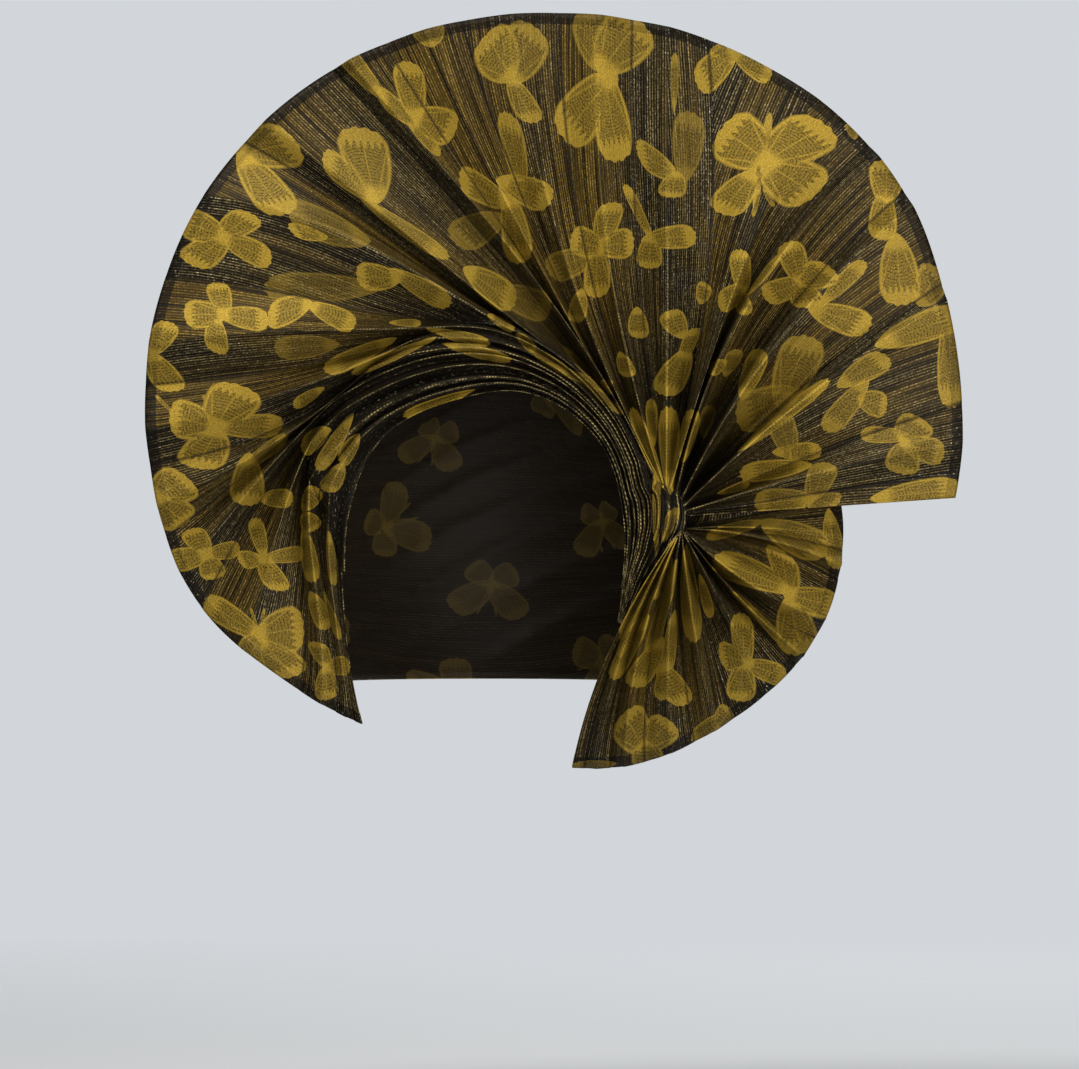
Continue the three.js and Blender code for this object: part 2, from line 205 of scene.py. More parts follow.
def sharp_profile(columns, name, crease):
    """The same with narrow crests and wide valleys: a depth that grows fast just beside a crest."""
    whole = np.minimum(np.floor(crease), len(columns[name]) - 2).astype(int)
    part = crease - whole
    here, there = columns[name][whole], columns[name][whole + 1]
    deeper, shallower = 1 - (1 - part) ** 2, part**2
    return here + (there - here) * np.where(there > here, deeper, shallower)


def valley(along, peak):
    """Share of a valley's extra depth along a fold, deepest at this share of its length."""
    return along / peak * np.exp(1 - along / peak)


WAVE_SPREAD = (0.6, 1.6)  # shortest and longest wave, as shares of the mean length


def waves(across, along, across_length, along_length, seed, count=9):
    """A seeded sum of waves of about unit height, with these mean wave lengths."""
    chance = np.random.default_rng(seed)
    total = 0.0
    for _ in range(count):
        one_across = 2 * np.pi / (across_length * chance.uniform(*WAVE_SPREAD))
        one_along = 2 * np.pi / (along_length * chance.uniform(*WAVE_SPREAD)) * chance.choice((-1, 1))
        total = total + np.sin(one_across * across + one_along * along + chance.uniform(0, 2 * np.pi))
    return total / np.sqrt(count)


EVEN_SHARE = 0.45  # share of a column's place that is even; the rest crowds towards the creases


def crease_steps(widths, step, least, most):
    """Crease numbers of a mesh's columns: each panel gets columns for its width, closer at its creases."""
    counts = np.clip(np.ceil(widths / step), least, most).astype(int)
    panels = []
    for number, count in enumerate(counts):
        even = np.arange(count) / count
        panels.append(number + EVEN_SHARE * even + (1 - EVEN_SHARE) * (1 - np.cos(np.pi * even)) / 2)
    return np.append(np.concatenate(panels), len(widths))


NO_FOLD = 100.0  # a distance at which no crease shows
ROUNDING = 1e-9  # more than the rounding error of a crease number


def panel_cloth(place, columns, down, along, creases, shows):
    """For the corners of each square: cloth place, distances to its panel's crest and valley, which place the
    painted highlights along crests and the painted shade along valleys, and the panel's gold and place
    along its fold. Yarns run along a panel's first crease and are cut by its next, as they are in a pleat.
    Crests that don't show are given as far away."""
    rise, gold = creases["rise"], creases["gold"]
    whole = np.minimum(np.floor(columns[:-1] + ROUNDING), len(rise) - 2).astype(int)
    starts = np.searchsorted(columns, np.arange(len(rise)) - ROUNDING)
    width = np.linalg.norm(np.diff(place[:, starts], axis=1), axis=-1)
    offset = np.append(0, np.cumsum(width[-1]))[whole]
    width = width[:, whole]
    left, right = width * (columns[:-1] - whole), width * (columns[1:] - whole)
    across = np.stack((left[:-1], right[:-1], right[1:], left[1:]), -1)
    far = np.stack((width[:-1], width[:-1], width[1:], width[1:]), -1) - across
    crest_first = rise[whole] > rise[whole + 1]
    hidden = NO_FOLD * ~shows[np.where(crest_first, whole, whole + 1)]
    crest_first = crest_first[None, :, None]
    crest = np.where(crest_first, across, far) + hidden[None, :, None]
    fold = np.stack((crest, np.where(crest_first, far, across)), -1).reshape(-1, 4, 2)
    cloth = square_corners(down[..., None]).reshape(across.shape)
    cloth = np.stack((across + offset[None, :, None], cloth), -1).reshape(-1, 4, 2)
    tone = np.broadcast_to(gold[whole][None, :, None], across.shape)
    panel = np.stack((tone, square_corners(along[..., None]).reshape(across.shape)), -1)
    return cloth, fold, panel.reshape(-1, 4, 2)


def square_corners(grid):
    """Values of a grid at the four corners of each of its squares."""
    corners = (grid[:-1, :-1], grid[:-1, 1:], grid[1:, 1:], grid[1:, :-1])
    return np.stack([corner.reshape(-1, grid.shape[-1]) for corner in corners], 1)


def plain_maps(cloth, gold, along):
    """The same maps for cloth without creases, of one gold and one place along the fold."""
    corners = square_corners(cloth)
    panel = np.broadcast_to(np.array((gold, along)), corners.shape)
    return corners, np.full_like(corners, NO_FOLD), panel


# Main fan and band: one run of cloth whose folds go round the face and leave the band one by one
FAN_CROWDING = 1.15  # above 1, the rows of squares crowd towards the root
FAN_LAST = len(FAN_CREASES["hem"]) - 1
FAN_HEM_POINTS = polar(FAN_CREASES["hem"], hem_radius(FAN_CREASES["hem"]), HEM_CENTRE)
FAN_PANELS = np.linalg.norm(np.diff(FAN_HEM_POINTS, axis=0), axis=1)
FAN_COLUMNS = crease_steps(FAN_PANELS, step=2.4, least=7, most=22)
FAN_ROWS = np.linspace(0, 1, num=104) ** FAN_CROWDING
BAND_COLUMNS = crease_steps(FAN_PANELS, step=1.0, least=7, most=7)
BAND_ROWS = np.linspace(0, 1, num=140)
TANGENT_PULL = 0.24  # share of a fold's length over which it swings out of the band
PULL_FROM, PULL_TO = 14, 22  # crease numbers between which folds start to leave along the band
FAN_OPENS = 0.12  # share of a fold's length over which it opens from the band
RIPPLE_STARTS = 0.1
RIPPLE_HEIGHT = 0.3  # fine ripples along the folds, which fade towards the hem
RIPPLE_FADE = 1.3
BILLOW_HEIGHT = 0.9  # broad billows, which grow towards the hem
BAND_BILLOW = 0.35
BAND_BILLOW_END = 0.92  # share of a fold's way round the band from which the billows fade

# Creases that make a fold of their own in the band; those of the pinch lie three to a fold
CREASE_NUMBERS = np.arange(FAN_LAST + 1)
FIRST_OWN_FOLD = 24
PINCH_GROUP = 6
PINCH_CREST = 2  # the crease of each group that shows
BAND_FOLDS = (CREASE_NUMBERS >= FIRST_OWN_FOLD) | (CREASE_NUMBERS % PINCH_GROUP == PINCH_CREST)
BAND_LEAST_RISE = 4.0
BAND_FLAT = -2.0
BAND_RISE = np.copysign(np.maximum(np.abs(FAN_CREASES["rise"]), BAND_LEAST_RISE), FAN_CREASES["rise"])
BAND_CREASES = {"rise": np.where(BAND_FOLDS, BAND_RISE, BAND_FLAT), "gold": FAN_CREASES["gold"]}


def fan_across(crease):
    """Place across the cloth, measured along the hem."""
    return np.interp(crease, CREASE_NUMBERS, np.append(0, np.cumsum(FAN_PANELS)))


def fan_lines(crease):
    """Root and hem points of the folds, and the control points of their curves."""
    root_deg = column_of(FAN_CREASES, "root", crease)
    hem_deg = column_of(FAN_CREASES, "hem", crease)
    root = polar(root_deg, band_radius(root_deg))
    hem = polar(hem_deg, hem_radius(hem_deg), HEM_CENTRE)
    span = hem - root
    length = np.linalg.norm(span, axis=-1, keepdims=True)
    heading = span / length
    left = np.stack((-heading[..., 1], heading[..., 0]), -1)
    round_face = polar(root_deg + 90, 1.0)
    pull = smoothstep(PULL_FROM, PULL_TO, crease)[..., None]
    swing = pull * (round_face - heading) * TANGENT_PULL * length
    swing_bow = 3 / 8 * np.sum(swing * left, -1)
    bow = left * ((column_of(FAN_CREASES, "bow", crease) - swing_bow) * 4 / 3)[..., None]
    return root, root + span / 3 + bow + swing, hem - span / 3 + bow, hem, root_deg, length[..., 0]


FOLD_SHIFTS = ((0.28, 2.3), (0.36, 0.9))  # height and turn of the waves that space the folds unevenly
FOLD_SETTLES = 3.0  # folds between one that leaves and the first that lies in its own place
ROOM_EASES = (-8.0, -4.0, 0.0, 4.0, 8.0)  # degrees over which the folds that stay take up the room
ROOM_SETTLES = 6.0  # folds between one that leaves and the first that moves so gently
LEAST_ROOM = 1e-6  # keeps the last fold's share from dividing by nothing
RISE_PER_MM = 0.3  # share of a crease's rise for each millimetre between folds
RISE_LEAST = 0.12
RISE_MOST = 0.45


def leaving_fold(deg):
    """Number of the fold that leaves the band at an angle."""
    return np.interp(deg, FAN_CREASES["root"], CREASE_NUMBERS)


def band_share(crease, deg):
    """How far across the band a fold lies, from the face at 0 to the band's outer edge at 1."""
    leaving = leaving_fold(deg)
    settled = smoothstep(0, FOLD_SETTLES, crease - leaving) * smoothstep(0, FOLD_SETTLES, FAN_LAST - crease)
    shift = sum(height * np.sin(turn * crease) for height, turn in FOLD_SHIFTS)
    place = FAN_LAST - crease - settled * shift
    eased = np.mean([leaving_fold(deg + ease) for ease in ROOM_EASES], axis=0)
    leaving = leaving + smoothstep(0, ROOM_SETTLES, crease - leaving) * (eased - leaving)
    return np.clip(place / np.maximum(FAN_LAST - leaving, LEAST_ROOM), 0, 1)


def band_fold_share(deg):
    """Share of a crease's rise in the band, where the folds lie close together."""
    spacing = (band_radius(deg) - rim_radius(deg)) / np.maximum(FAN_LAST - leaving_fold(deg), 1.0)
    return np.clip(RISE_PER_MM * spacing, RISE_LEAST, RISE_MOST)


def main_fan():
    crease, along = np.meshgrid(FAN_COLUMNS, FAN_ROWS)
    root, first, second, hem, root_deg, length = fan_lines(crease)
    t = along[..., None]
    view = (1 - t) ** 3 * root + 3 * t * (1 - t) ** 2 * first + 3 * t * t * (1 - t) * second + t**3 * hem
    opening = smoothstep(0, FAN_OPENS, along)
    in_band = fold_profile(BAND_CREASES, "rise", crease) * band_fold_share(root_deg)
    in_fan = fold_profile(FAN_CREASES, "rise", crease) * swell(along)
    relief = FAN_RISE * (in_band * (1 - opening) + in_fan * opening)
    relief -= sharp_profile(FAN_CREASES, "deep", crease) * valley(along, FAN_VALLEY)
    across = fan_across(crease)
    down = length * (1 - along)
    ripples = waves(across, down, across_length=7, along_length=140, seed=11)
    billows = waves(across, down, across_length=60, along_length=160, seed=12)
    unrest = RIPPLE_HEIGHT * (RIPPLE_FADE - along) * ripples + BILLOW_HEIGHT * along * billows
    relief += smoothstep(0, RIPPLE_STARTS, along) * unrest
    hem_deg = column_of(FAN_CREASES, "hem", crease)
    depth = band_depth(root_deg) * (1 - along) + hem_depth(hem_deg) * along - relief
    return np.stack((view[..., 0], depth, view[..., 1]), -1), np.stack((across, down), -1)


def face_band():
    crease, along = np.meshgrid(BAND_COLUMNS, BAND_ROWS)
    root_deg = column_of(FAN_CREASES, "root", crease)
    deg = BAND_LOW + (root_deg - BAND_LOW) * along
    share = band_share(crease, deg)
    width = band_radius(deg) - rim_radius(deg)
    view = polar(deg, rim_radius(deg) + width * share)
    roll = BAND_BULGE * width * 4 * share * (1 - share)
    relief = FAN_RISE * fold_profile(BAND_CREASES, "rise", crease) * band_fold_share(deg)
    across = fan_across(crease)
    length = fan_lines(crease)[-1]
    down = length + np.radians(root_deg - deg) * rim_radius(deg)
    billows = waves(across, down, across_length=30, along_length=60, seed=21)
    relief += BAND_BILLOW * smoothstep(1, BAND_BILLOW_END, along) * billows
    depth = rim_depth(deg) * (1 - share) + band_depth(deg) * share - roll - relief
    place = np.stack((view[..., 0], depth, view[..., 1]), -1)
    cloth = np.stack((across, down), -1)
    return place, cloth, deg[:, -1]


FLAP_STEPS = np.linspace(0, 1, num=9)
FLAP_END = 25.0  # degrees over which the turned-in cloth narrows to its end
FLAP_LIP = 1.2  # how far it bulges outwards as it turns in
FLAP_SPREAD = 7.0  # how far it spreads outwards along the head
FLAP_SLOPE = 1.2  # power of its way back


def band_flap(place, cloth, deg):
    """Cloth turned in behind the band's inner edge, along the head."""
    edge, edge_cloth = place[:, -1:], cloth[:, -1:]
    full = smoothstep(deg[-1] + 1, deg[-1] - FLAP_END, deg)[:, None]
    outwards = FLAP_LIP * np.sin(FLAP_STEPS * np.pi / 2) + FLAP_SPREAD * FLAP_STEPS**2
    view = polar(deg[:, None], rim_radius(deg)[:, None] + full * outwards)
    depth = edge[..., 1] + full * BAND_TURN_IN * FLAP_STEPS**FLAP_SLOPE
    flap = np.stack((view[..., 0], depth, view[..., 1]), -1)
    return flap, edge_cloth + np.stack((BAND_TURN_IN * FLAP_STEPS, 0 * FLAP_STEPS), -1)[None]


# Lower fan, hung from the pinch
LOWER_LAST = len(LOWER_CREASES["deg"]) - 1
LOWER_PANELS = np.linalg.norm(
    np.diff(polar(LOWER_CREASES["deg"], LOWER_CREASES["reach"]), axis=0), axis=1
)
LOWER_COLUMNS = crease_steps(LOWER_PANELS, step=1.5, least=8, most=20)
LOWER_CROWDING = 1.2
LOWER_ROWS = np.linspace(0, 1, num=90) ** LOWER_CROWDING
LOWER_OPENS = 2.0  # how much sooner the painted shade near its root and the painted highlights on its crests fade along it than the main fan's
PINCH_SINK = 8.0  # how far the folds' ends sink in where they are pinched together
PINCH_REACH = 0.035
LOWER_GATHER = (-0.02, 0.2)  # shares of a fold's length between which it stands up from the pinch
LOWER_RIPPLE = 0.25
LOWER_RIPPLE_STARTS = 0.2


def lower_fan():
    crease, along = np.meshgrid(LOWER_COLUMNS, LOWER_ROWS)
    deg = column_of(LOWER_CREASES, "deg", crease)
    reach = column_of(LOWER_CREASES, "reach", crease)
    root, hem = polar(deg, LOWER_ROOT, PINCH), polar(deg, reach, PINCH)
    left = polar(deg + 90, 1.0)
    bow = 4 * along * (1 - along) * column_of(LOWER_CREASES, "bow", crease)
    view = root + (hem - root) * along[..., None] + left * bow[..., None]
    share = swell(along) * smoothstep(*LOWER_GATHER, along)
    relief = LOWER_RISE * fold_profile(LOWER_CREASES, "rise", crease) * share
    relief -= LOWER_RISE * sharp_profile(LOWER_CREASES, "deep", crease) * valley(along, LOWER_VALLEY)
    across = np.interp(crease, np.arange(LOWER_LAST + 1), np.append(0, np.cumsum(LOWER_PANELS)))
    down = reach * (1 - along)
    ripples = waves(across, down, across_length=6, along_length=90, seed=31)
    relief += smoothstep(0, LOWER_RIPPLE_STARTS, along) * LOWER_RIPPLE * ripples
    root_depth = column_of(LOWER_CREASES, "root_depth", crease)
    hem_depth = column_of(LOWER_CREASES, "hem_depth", crease)
    depth = root_depth + (hem_depth - root_depth) * along**LOWER_SWEEP - relief
    depth += PINCH_SINK * np.exp(-along / PINCH_REACH)
    return np.stack((view[..., 0], depth, view[..., 1]), -1), np.stack((across, down), -1)


# Crown wrap
CROWN_FRONT_STEPS = 150
CROWN_NAPE_STEPS = 70
CROWN_ROWS = np.linspace(0, 1, num=76)
WRAP_LAYERS = 4.5
WRAP_HEIGHT = 2.2
WRAP_SLANT = 0.45
WRAP_WAVER = 0.12  # how far the wrapped layers waver, and how often
WRAP_WAVER_TURNS = 3
WRAP_EDGE = 2.2  # power that sets a layer's height at its edge
WRAP_LEVEL = 0.3  # share of a layer's height that lies under the dome
WRAP_STARTS = 0.25  # the layers fade in from the top and out before the free edge
WRAP_ENDS = 0.88
CROWN_RADIUS = 100.0  # mean radius, for the cloth's length from the top


def crown_edge():
    deg = np.linspace(CROWN_EDGE["deg"][0], CROWN_EDGE["deg"][-1], CROWN_FRONT_STEPS + 1)
    view = polar(deg, crown_radius(deg))
    front = np.stack((view[:, 0], crown_depth(deg), view[:, 1]), -1)
    turn = np.linspace(180 - NAPE["corner"], NAPE["corner"], CROWN_NAPE_STEPS + 1)[1:-1]
    ring = polar(turn, 1.0)
    low = np.full(len(turn), NAPE["height"])
    nape = np.stack((NAPE["half_width"] * ring[:, 0], NAPE["reach"] * ring[:, 1], low), -1)
    return np.concatenate((front, nape, front[:1]))


def dome_radius(direction):
    return 1 / np.linalg.norm(direction / CROWN_HALF, axis=-1)


def crown_wrap():
    edge = crown_edge() - CROWN_CENTRE
    edge_radius = np.linalg.norm(edge, axis=-1)
    edge_way = edge / edge_radius[:, None]
    angle = np.arccos(np.clip(edge_way[:, 2], -1, 1))
    along = CROWN_ROWS[:, None]
    top = np.array((0.0, 0.0, 1.0))
    from_top = np.sin((1 - along) * angle) / np.sin(angle)
    to_edge = np.sin(along * angle) / np.sin(angle)
    way = from_top[..., None] * top + to_edge[..., None] * edge_way
    flare = (edge_radius - dome_radius(edge_way)) * along**3
    waver = WRAP_WAVER * np.sin(WRAP_WAVER_TURNS * way[..., 1])
    phase = WRAP_LAYERS * (way[..., 2] - WRAP_SLANT * way[..., 0] + waver)
    layer = (phase - np.floor(phase)) ** WRAP_EDGE
    fade = smoothstep(0, WRAP_STARTS, along) * smoothstep(1, WRAP_ENDS, along)
    reach = dome_radius(way) + flare + WRAP_HEIGHT * fade * (layer - WRAP_LEVEL)
    place = CROWN_CENTRE + way * reach[..., None]
    around = np.append(0, np.cumsum(np.linalg.norm(np.diff(place[-1], axis=0), axis=1)))
    across = angle * along * CROWN_RADIUS + 0 * around
    return place, np.stack((across, around + 0 * across), -1)


# Butterfly wings as they show in the front view, in the photograph's pixels: root, the two widest places
# (across and down), and how bright the gold is, partly the wing's own tone and partly painted shade,
# lower on wings that lie in shadow
UPPER_WINGS = table(
    "root root_down one one_down other other_down tone",
    # left of the face, from the top down
    (244, 158, 256, 203, 291, 195, 0.9), (242, 154, 266, 126, 295, 164, 0.8),
    (223, 236, 199, 212, 189, 238, 1), (223, 236, 231, 213, 257, 227, 1),
    (223, 238, 185, 249, 213, 265, 1), (223, 238, 260, 243, 256, 265, 1),
    (225, 313, 208, 292, 229, 290, 1), (223, 315, 194, 302, 196, 327, 1),
    (223, 315, 256, 309, 256, 330, 1), (216, 319, 206, 340, 227, 347, 1),
    (152, 353, 155, 327, 176, 335, 1), (152, 355, 154, 383, 182, 380, 1),
    (308, 305, 280, 300, 278, 327, 1), (312, 306, 347, 312, 339, 329, 1),
    (397, 278, 366, 264, 370, 289, 1), (395, 272, 440, 288, 430, 303, 0.9),
    (389, 341, 339, 355, 346, 370, 1), (428, 341, 372, 359, 374, 369, 0.8),
    (333, 344, 289, 337, 293, 358, 0.4), (362, 238, 304, 203, 314, 238, 0.4),
    (324, 236, 295, 224, 304, 239, 1), (374, 197, 341, 145, 386, 149, 0.75),
    (374, 197, 339, 156, 335, 180, 0.8), (370, 205, 430, 238, 423, 249, 0.75),
    (370, 288, 295, 274, 293, 301, 0.35), (216, 425, 213, 389, 257, 405, 1),
    (214, 426, 183, 402, 181, 436, 1), (218, 426, 267, 415, 262, 437, 0.95),
    (216, 431, 181, 454, 223, 462, 0.95), (158, 496, 165, 470, 194, 496, 0.95),
    (158, 499, 164, 527, 191, 507, 0.95), (206, 552, 184, 539, 205, 532, 0.95),
    (205, 555, 176, 550, 183, 570, 0.95), (208, 553, 231, 542, 231, 558, 0.9),
    (207, 556, 202, 575, 224, 570, 0.95), (264, 555, 250, 530, 264, 527, 0.95),
    (261, 558, 241, 552, 249, 568, 1), (266, 558, 294, 547, 296, 561, 0.95),
    (264, 559, 264, 582, 287, 582, 1), (259, 635, 224, 600, 215, 620, 0.95),
    (260, 636, 240, 645, 260, 666, 0.9), (260, 634, 290, 609, 293, 650, 0.9),
    (261, 641, 267, 672, 302, 661, 0.9), (325, 666, 310, 647, 328, 650, 0.8),
    (327, 667, 342, 657, 345, 674, 0.8), (325, 669, 317, 693, 337, 689, 0.8),
    (249, 458, 232, 491, 262, 493, 0.9), (262, 498, 285, 490, 283, 507, 0.95),
    (244, 466, 275, 438, 276, 453, 0.7),
    # left part of the band
    (304, 509, 307, 489, 321, 498, 0.95), (304, 514, 304, 530, 320, 521, 0.95),
    (304, 532, 304, 570, 318, 566, 0.9), (328, 431, 307, 434, 311, 453, 0.9),
    (350, 419, 321, 453, 333, 459, 0.75), (341, 466, 322, 482, 339, 487, 0.75),
    (358, 437, 341, 448, 349, 462, 0.65), (329, 536, 329, 573, 337, 570, 0.65),
    (312, 595, 316, 623, 330, 616, 0.85), (325, 596, 333, 629, 339, 626, 0.8),
    (321, 389, 299, 396, 303, 406, 0.9),
    # edge of the face and forehead
    (468, 392, 420, 404, 423, 414, 1), (433, 330, 475, 335, 473, 345, 0.8),
    (449, 345, 495, 351, 492, 361, 0.75), (490, 316, 509, 321, 506, 330, 0.8),
    (518, 335, 533, 342, 528, 351, 0.6), (392, 323, 413, 320, 413, 327, 0.9),
    # top
    (379, 94, 344, 65, 358, 56, 0.8), (410, 125, 434, 142, 430, 151, 0.8),
    (415, 117, 395, 76, 423, 78, 0.9), (418, 125, 388, 92, 390, 112, 0.9),
    (416, 116, 451, 112, 438, 143, 0.9), (511, 76, 477, 63, 509, 30, 0.75),
    (512, 78, 511, 29, 545, 53, 0.6), (512, 80, 516, 112, 539, 110, 0.75),
    (521, 187, 500, 129, 523, 138, 0.8), (506, 202, 472, 170, 472, 198, 0.85),
    (502, 181, 543, 183, 532, 208, 0.85), (509, 198, 505, 247, 530, 243, 0.8),
    (498, 217, 455, 223, 477, 247, 0.4), (468, 272, 506, 281, 498, 307, 0.8),
    (500, 292, 541, 292, 532, 319, 0.4), (431, 45, 414, 30, 442, 28, 0.6),
    (603, 68, 608, 18, 649, 49, 0.8), (599, 66, 575, 31, 604, 18, 0.55),
    (611, 78, 562, 104, 590, 138, 0.85), (604, 76, 599, 141, 630, 134, 0.9),
    # right of the top
    (674, 107, 671, 68, 678, 68, 0.6), (734, 52, 701, 62, 713, 89, 0.9),
    (736, 56, 713, 56, 724, 45, 0.8), (735, 54, 765, 62, 757, 80, 0.95),
    (766, 160, 749, 117, 719, 157, 1), (767, 161, 790, 120, 828, 149, 1),
    (753, 174, 715, 196, 744, 209, 1), (768, 165, 821, 170, 784, 203, 0.95),
    (755, 199, 762, 136, 770, 138, 0.9), (676, 174, 645, 143, 651, 172, 0.85),
    (676, 174, 660, 190, 684, 192, 0.85), (684, 176, 675, 126, 703, 134, 0.4),
    (651, 238, 627, 199, 638, 200, 0.95), (647, 240, 680, 226, 684, 247, 0.95),
    (651, 238, 638, 259, 661, 261, 0.95), (602, 244, 597, 215, 621, 213, 0.9),
    (604, 250, 583, 228, 577, 254, 0.9), (599, 246, 624, 230, 624, 257, 0.9),
    (597, 249, 585, 285, 609, 283, 0.9), (590, 255, 553, 255, 566, 279, 0.5),
    (581, 292, 569, 313, 585, 315, 0.8), (637, 310, 629, 330, 648, 331, 0.9),
    (621, 354, 620, 371, 634, 370, 0.95), (682, 336, 662, 322, 682, 314, 0.95),
    (682, 362, 683, 339, 698, 336, 0.95), (686, 352, 657, 379, 682, 387, 0.95),
    (700, 302, 698, 285, 711, 292, 0.9), (743, 292, 731, 262, 749, 261, 1),
    (745, 289, 724, 290, 728, 310, 1), (740, 290, 737, 309, 751, 307, 1),
    (749, 294, 769, 264, 774, 268, 0.9), (801, 281, 780, 257, 803, 249, 0.9),
    (797, 285, 810, 263, 834, 283, 0.95), (803, 281, 769, 283, 780, 302, 0.9),
    (799, 283, 793, 303, 821, 298, 0.95), (823, 302, 847, 268, 859, 277, 0.85),
    (814, 309, 861, 311, 847, 334, 0.9),
    # right
    (886, 203, 871, 171, 901, 173, 0.95), (884, 193, 870, 226, 895, 228, 0.9),
    (896, 240, 882, 288, 918, 286, 0.8), (920, 302, 922, 268, 946, 290, 0.7),
    (884, 343, 933, 309, 948, 333, 0.8), (948, 322, 939, 384, 962, 384, 0.75),
    (842, 384, 866, 356, 883, 372, 0.75), (859, 399, 881, 393, 877, 416, 0.75),
    (864, 384, 827, 413, 846, 423, 0.7), (782, 402, 782, 350, 820, 359, 0.6),
    (797, 395, 750, 393, 756, 429, 0.55), (747, 445, 802, 394, 810, 402, 1),
    (791, 455, 769, 427, 793, 421, 0.6), (777, 452, 808, 443, 810, 459, 0.95),
    (805, 466, 758, 462, 758, 481, 1), (743, 395, 747, 359, 765, 365, 0.9),
    (725, 361, 710, 365, 717, 374, 0.95), (726, 374, 726, 356, 741, 356, 0.6),
    (907, 437, 875, 427, 872, 442, 0.75), (901, 440, 903, 416, 930, 434, 0.65),
    (903, 443, 935, 440, 930, 463, 0.62), (907, 443, 887, 462, 917, 468, 0.62),
    (812, 499, 810, 471, 835, 475, 0.65), (810, 501, 837, 494, 823, 513, 0.65),
    (810, 499, 769, 490, 771, 514, 0.62), (802, 500, 764, 509, 785, 524, 0.62),
    (879, 498, 937, 479, 939, 503, 0.8), (846, 126, 856, 130, 852, 138, 0.9),
    # narrow folds above the pinch
    (720, 493, 741, 482, 742, 490, 1), (653, 442, 646, 411, 657, 411, 0.95),
    (670, 486, 660, 429, 678, 429, 1), (660, 480, 634, 430, 645, 426, 0.95),
    (683, 458, 683, 422, 698, 424, 0.95), (656, 547, 653, 490, 660, 490, 0.9),
    (665, 539, 666, 518, 678, 515, 0.9), (550, 365, 598, 381, 594, 389, 0.45),
    (602, 381, 611, 381, 608, 387, 0.7), (704, 435, 701, 414, 714, 413, 0.35),
    (531, 349, 560, 362, 556, 371, 0.5), (575, 374, 612, 400, 607, 406, 0.5),
    (566, 350, 592, 371, 588, 378, 0.4),
    # feelers and tails
    (172, 412, 159, 401.5, 161.5, 399, 0.8), (209, 409, 203.5, 399.5, 206, 398.5, 0.7),
    (258, 630, 251.5, 614.5, 254, 613.5, 0.9), (261, 629, 262, 614, 264.8, 614.5, 0.9),
    (760, 190, 753, 209, 757, 210, 0.7), (764, 190, 769, 203, 773, 201, 0.7),
)
LOWER_WINGS = table(
    "root root_down one one_down other other_down tone",
    (792, 590, 742, 556, 729, 578, 1), (788, 591, 768, 552, 797, 569, 0.99),
    (790, 601, 780, 642, 816, 636, 0.88), (788, 595, 826, 591, 820, 616, 1),
    (768, 524, 824, 534, 800, 556, 0.83), (829, 515, 825, 552, 843, 554, 0.94),
    (759, 523, 723, 526, 719, 539, 1), (745, 666, 732, 627, 752, 629, 0.99),
    (747, 662, 725, 643, 729, 669, 0.94), (747, 664, 777, 664, 772, 683, 1),
    (743, 664, 728, 690, 754, 691, 1), (643, 748, 642, 710, 616, 736, 0.99),
    (647, 746, 652, 718, 675, 737, 1), (645, 741, 633, 761, 663, 758, 0.88),
    (661, 666, 668, 698, 689, 690, 1), (663, 672, 655, 690, 667, 694, 0.88),
    (660, 642, 630, 672, 652, 677, 1), (687, 554, 683, 616, 700, 619, 0.83),
    (701, 578, 704, 608, 713, 605, 0.99), (749, 605, 772, 636, 779, 634, 1),
    (734, 593, 749, 603, 747, 607, 0.99), (674, 543, 643, 571, 654, 577, 0.99),
    (671, 562, 654, 588, 663, 590, 0.94), (645, 621, 615, 659, 628, 666, 1),
    (723, 715, 697, 727, 703, 741, 0.94), (716, 728, 719, 707, 732, 720, 0.88),
    (674, 616, 663, 655, 674, 659, 0.88), (613, 763, 581, 761, 585, 771, 0.77),
    (669, 556, 628, 612, 641, 620, 0.88), (674, 570, 648, 636, 660, 641, 0.77),
    (652, 592, 622, 640, 634, 646, 0.83),
)
WIDEST = 0.5  # where a wing is widest, from its root at -1 to its tip at 1
ROOT_POWER = 0.66  # its sides swell from the root as a sine of this power
TIP_POWER = 2.2  # its tip is half a superellipse of this power, which makes it blunt
ROOT_MORE = 0.16  # how much farther it starts, so that the wings of a butterfly join at its body
SIDE_MORE = 1.14


def in_photo(place):
    """Where points show in the photograph's frame, in pixels across and down."""
    scale = CAMERA_DISTANCE / (CAMERA_DISTANCE + place[..., 1] - VIEW_DEPTH) / MM_PER_PIXEL
    across = PHOTO_WIDTH / 2 + (place[..., 0] - CAMERA_X) * scale
    down = PHOTO_HEIGHT / 2 - (place[..., 2] - CAMERA_Z) * scale
    return np.stack((across, down), -1)


def wing_frame(root, one, other, tone, scale):
    """A wing from its root and its widest places: middle, matrix to its own frame, tone and half length."""
    widest = (one + other) / 2
    root = root - ROOT_MORE * (widest - root)
    tipwards = (widest - root) / (1 + WIDEST)
    sideways = SIDE_MORE * (other - one) / 2
    matrix = np.linalg.inv(np.stack((sideways, tipwards), 1))
    return root + tipwards, matrix, tone, np.linalg.norm(tipwards) * scale


def charted_wings(chart):
    rows = np.stack(list(chart.values()), 1)
    return [wing_frame(row[0:2], row[2:4], row[4:6], row[6], MM_PER_PIXEL) for row in rows]


# Right half of a butterfly for cloth that the photograph doesn't show, as shares of its half span
HALF_BUTTERFLY = table(
    "root root_up one one_up other other_up",
    (0.02, 0, 0.38, 0.8, 0.95, 0.4), (0.02, -0.04, 0.62, -0.08, 0.26, -0.58),
    (0.03, 0.1, 0.16, 0.66, 0.22, 0.64),
)
SCATTERED_TONE = 0.9
HALF_SPANS = (17, 24)  # smallest and largest, in millimetres
TRIES = 30  # places tried for each that could be filled


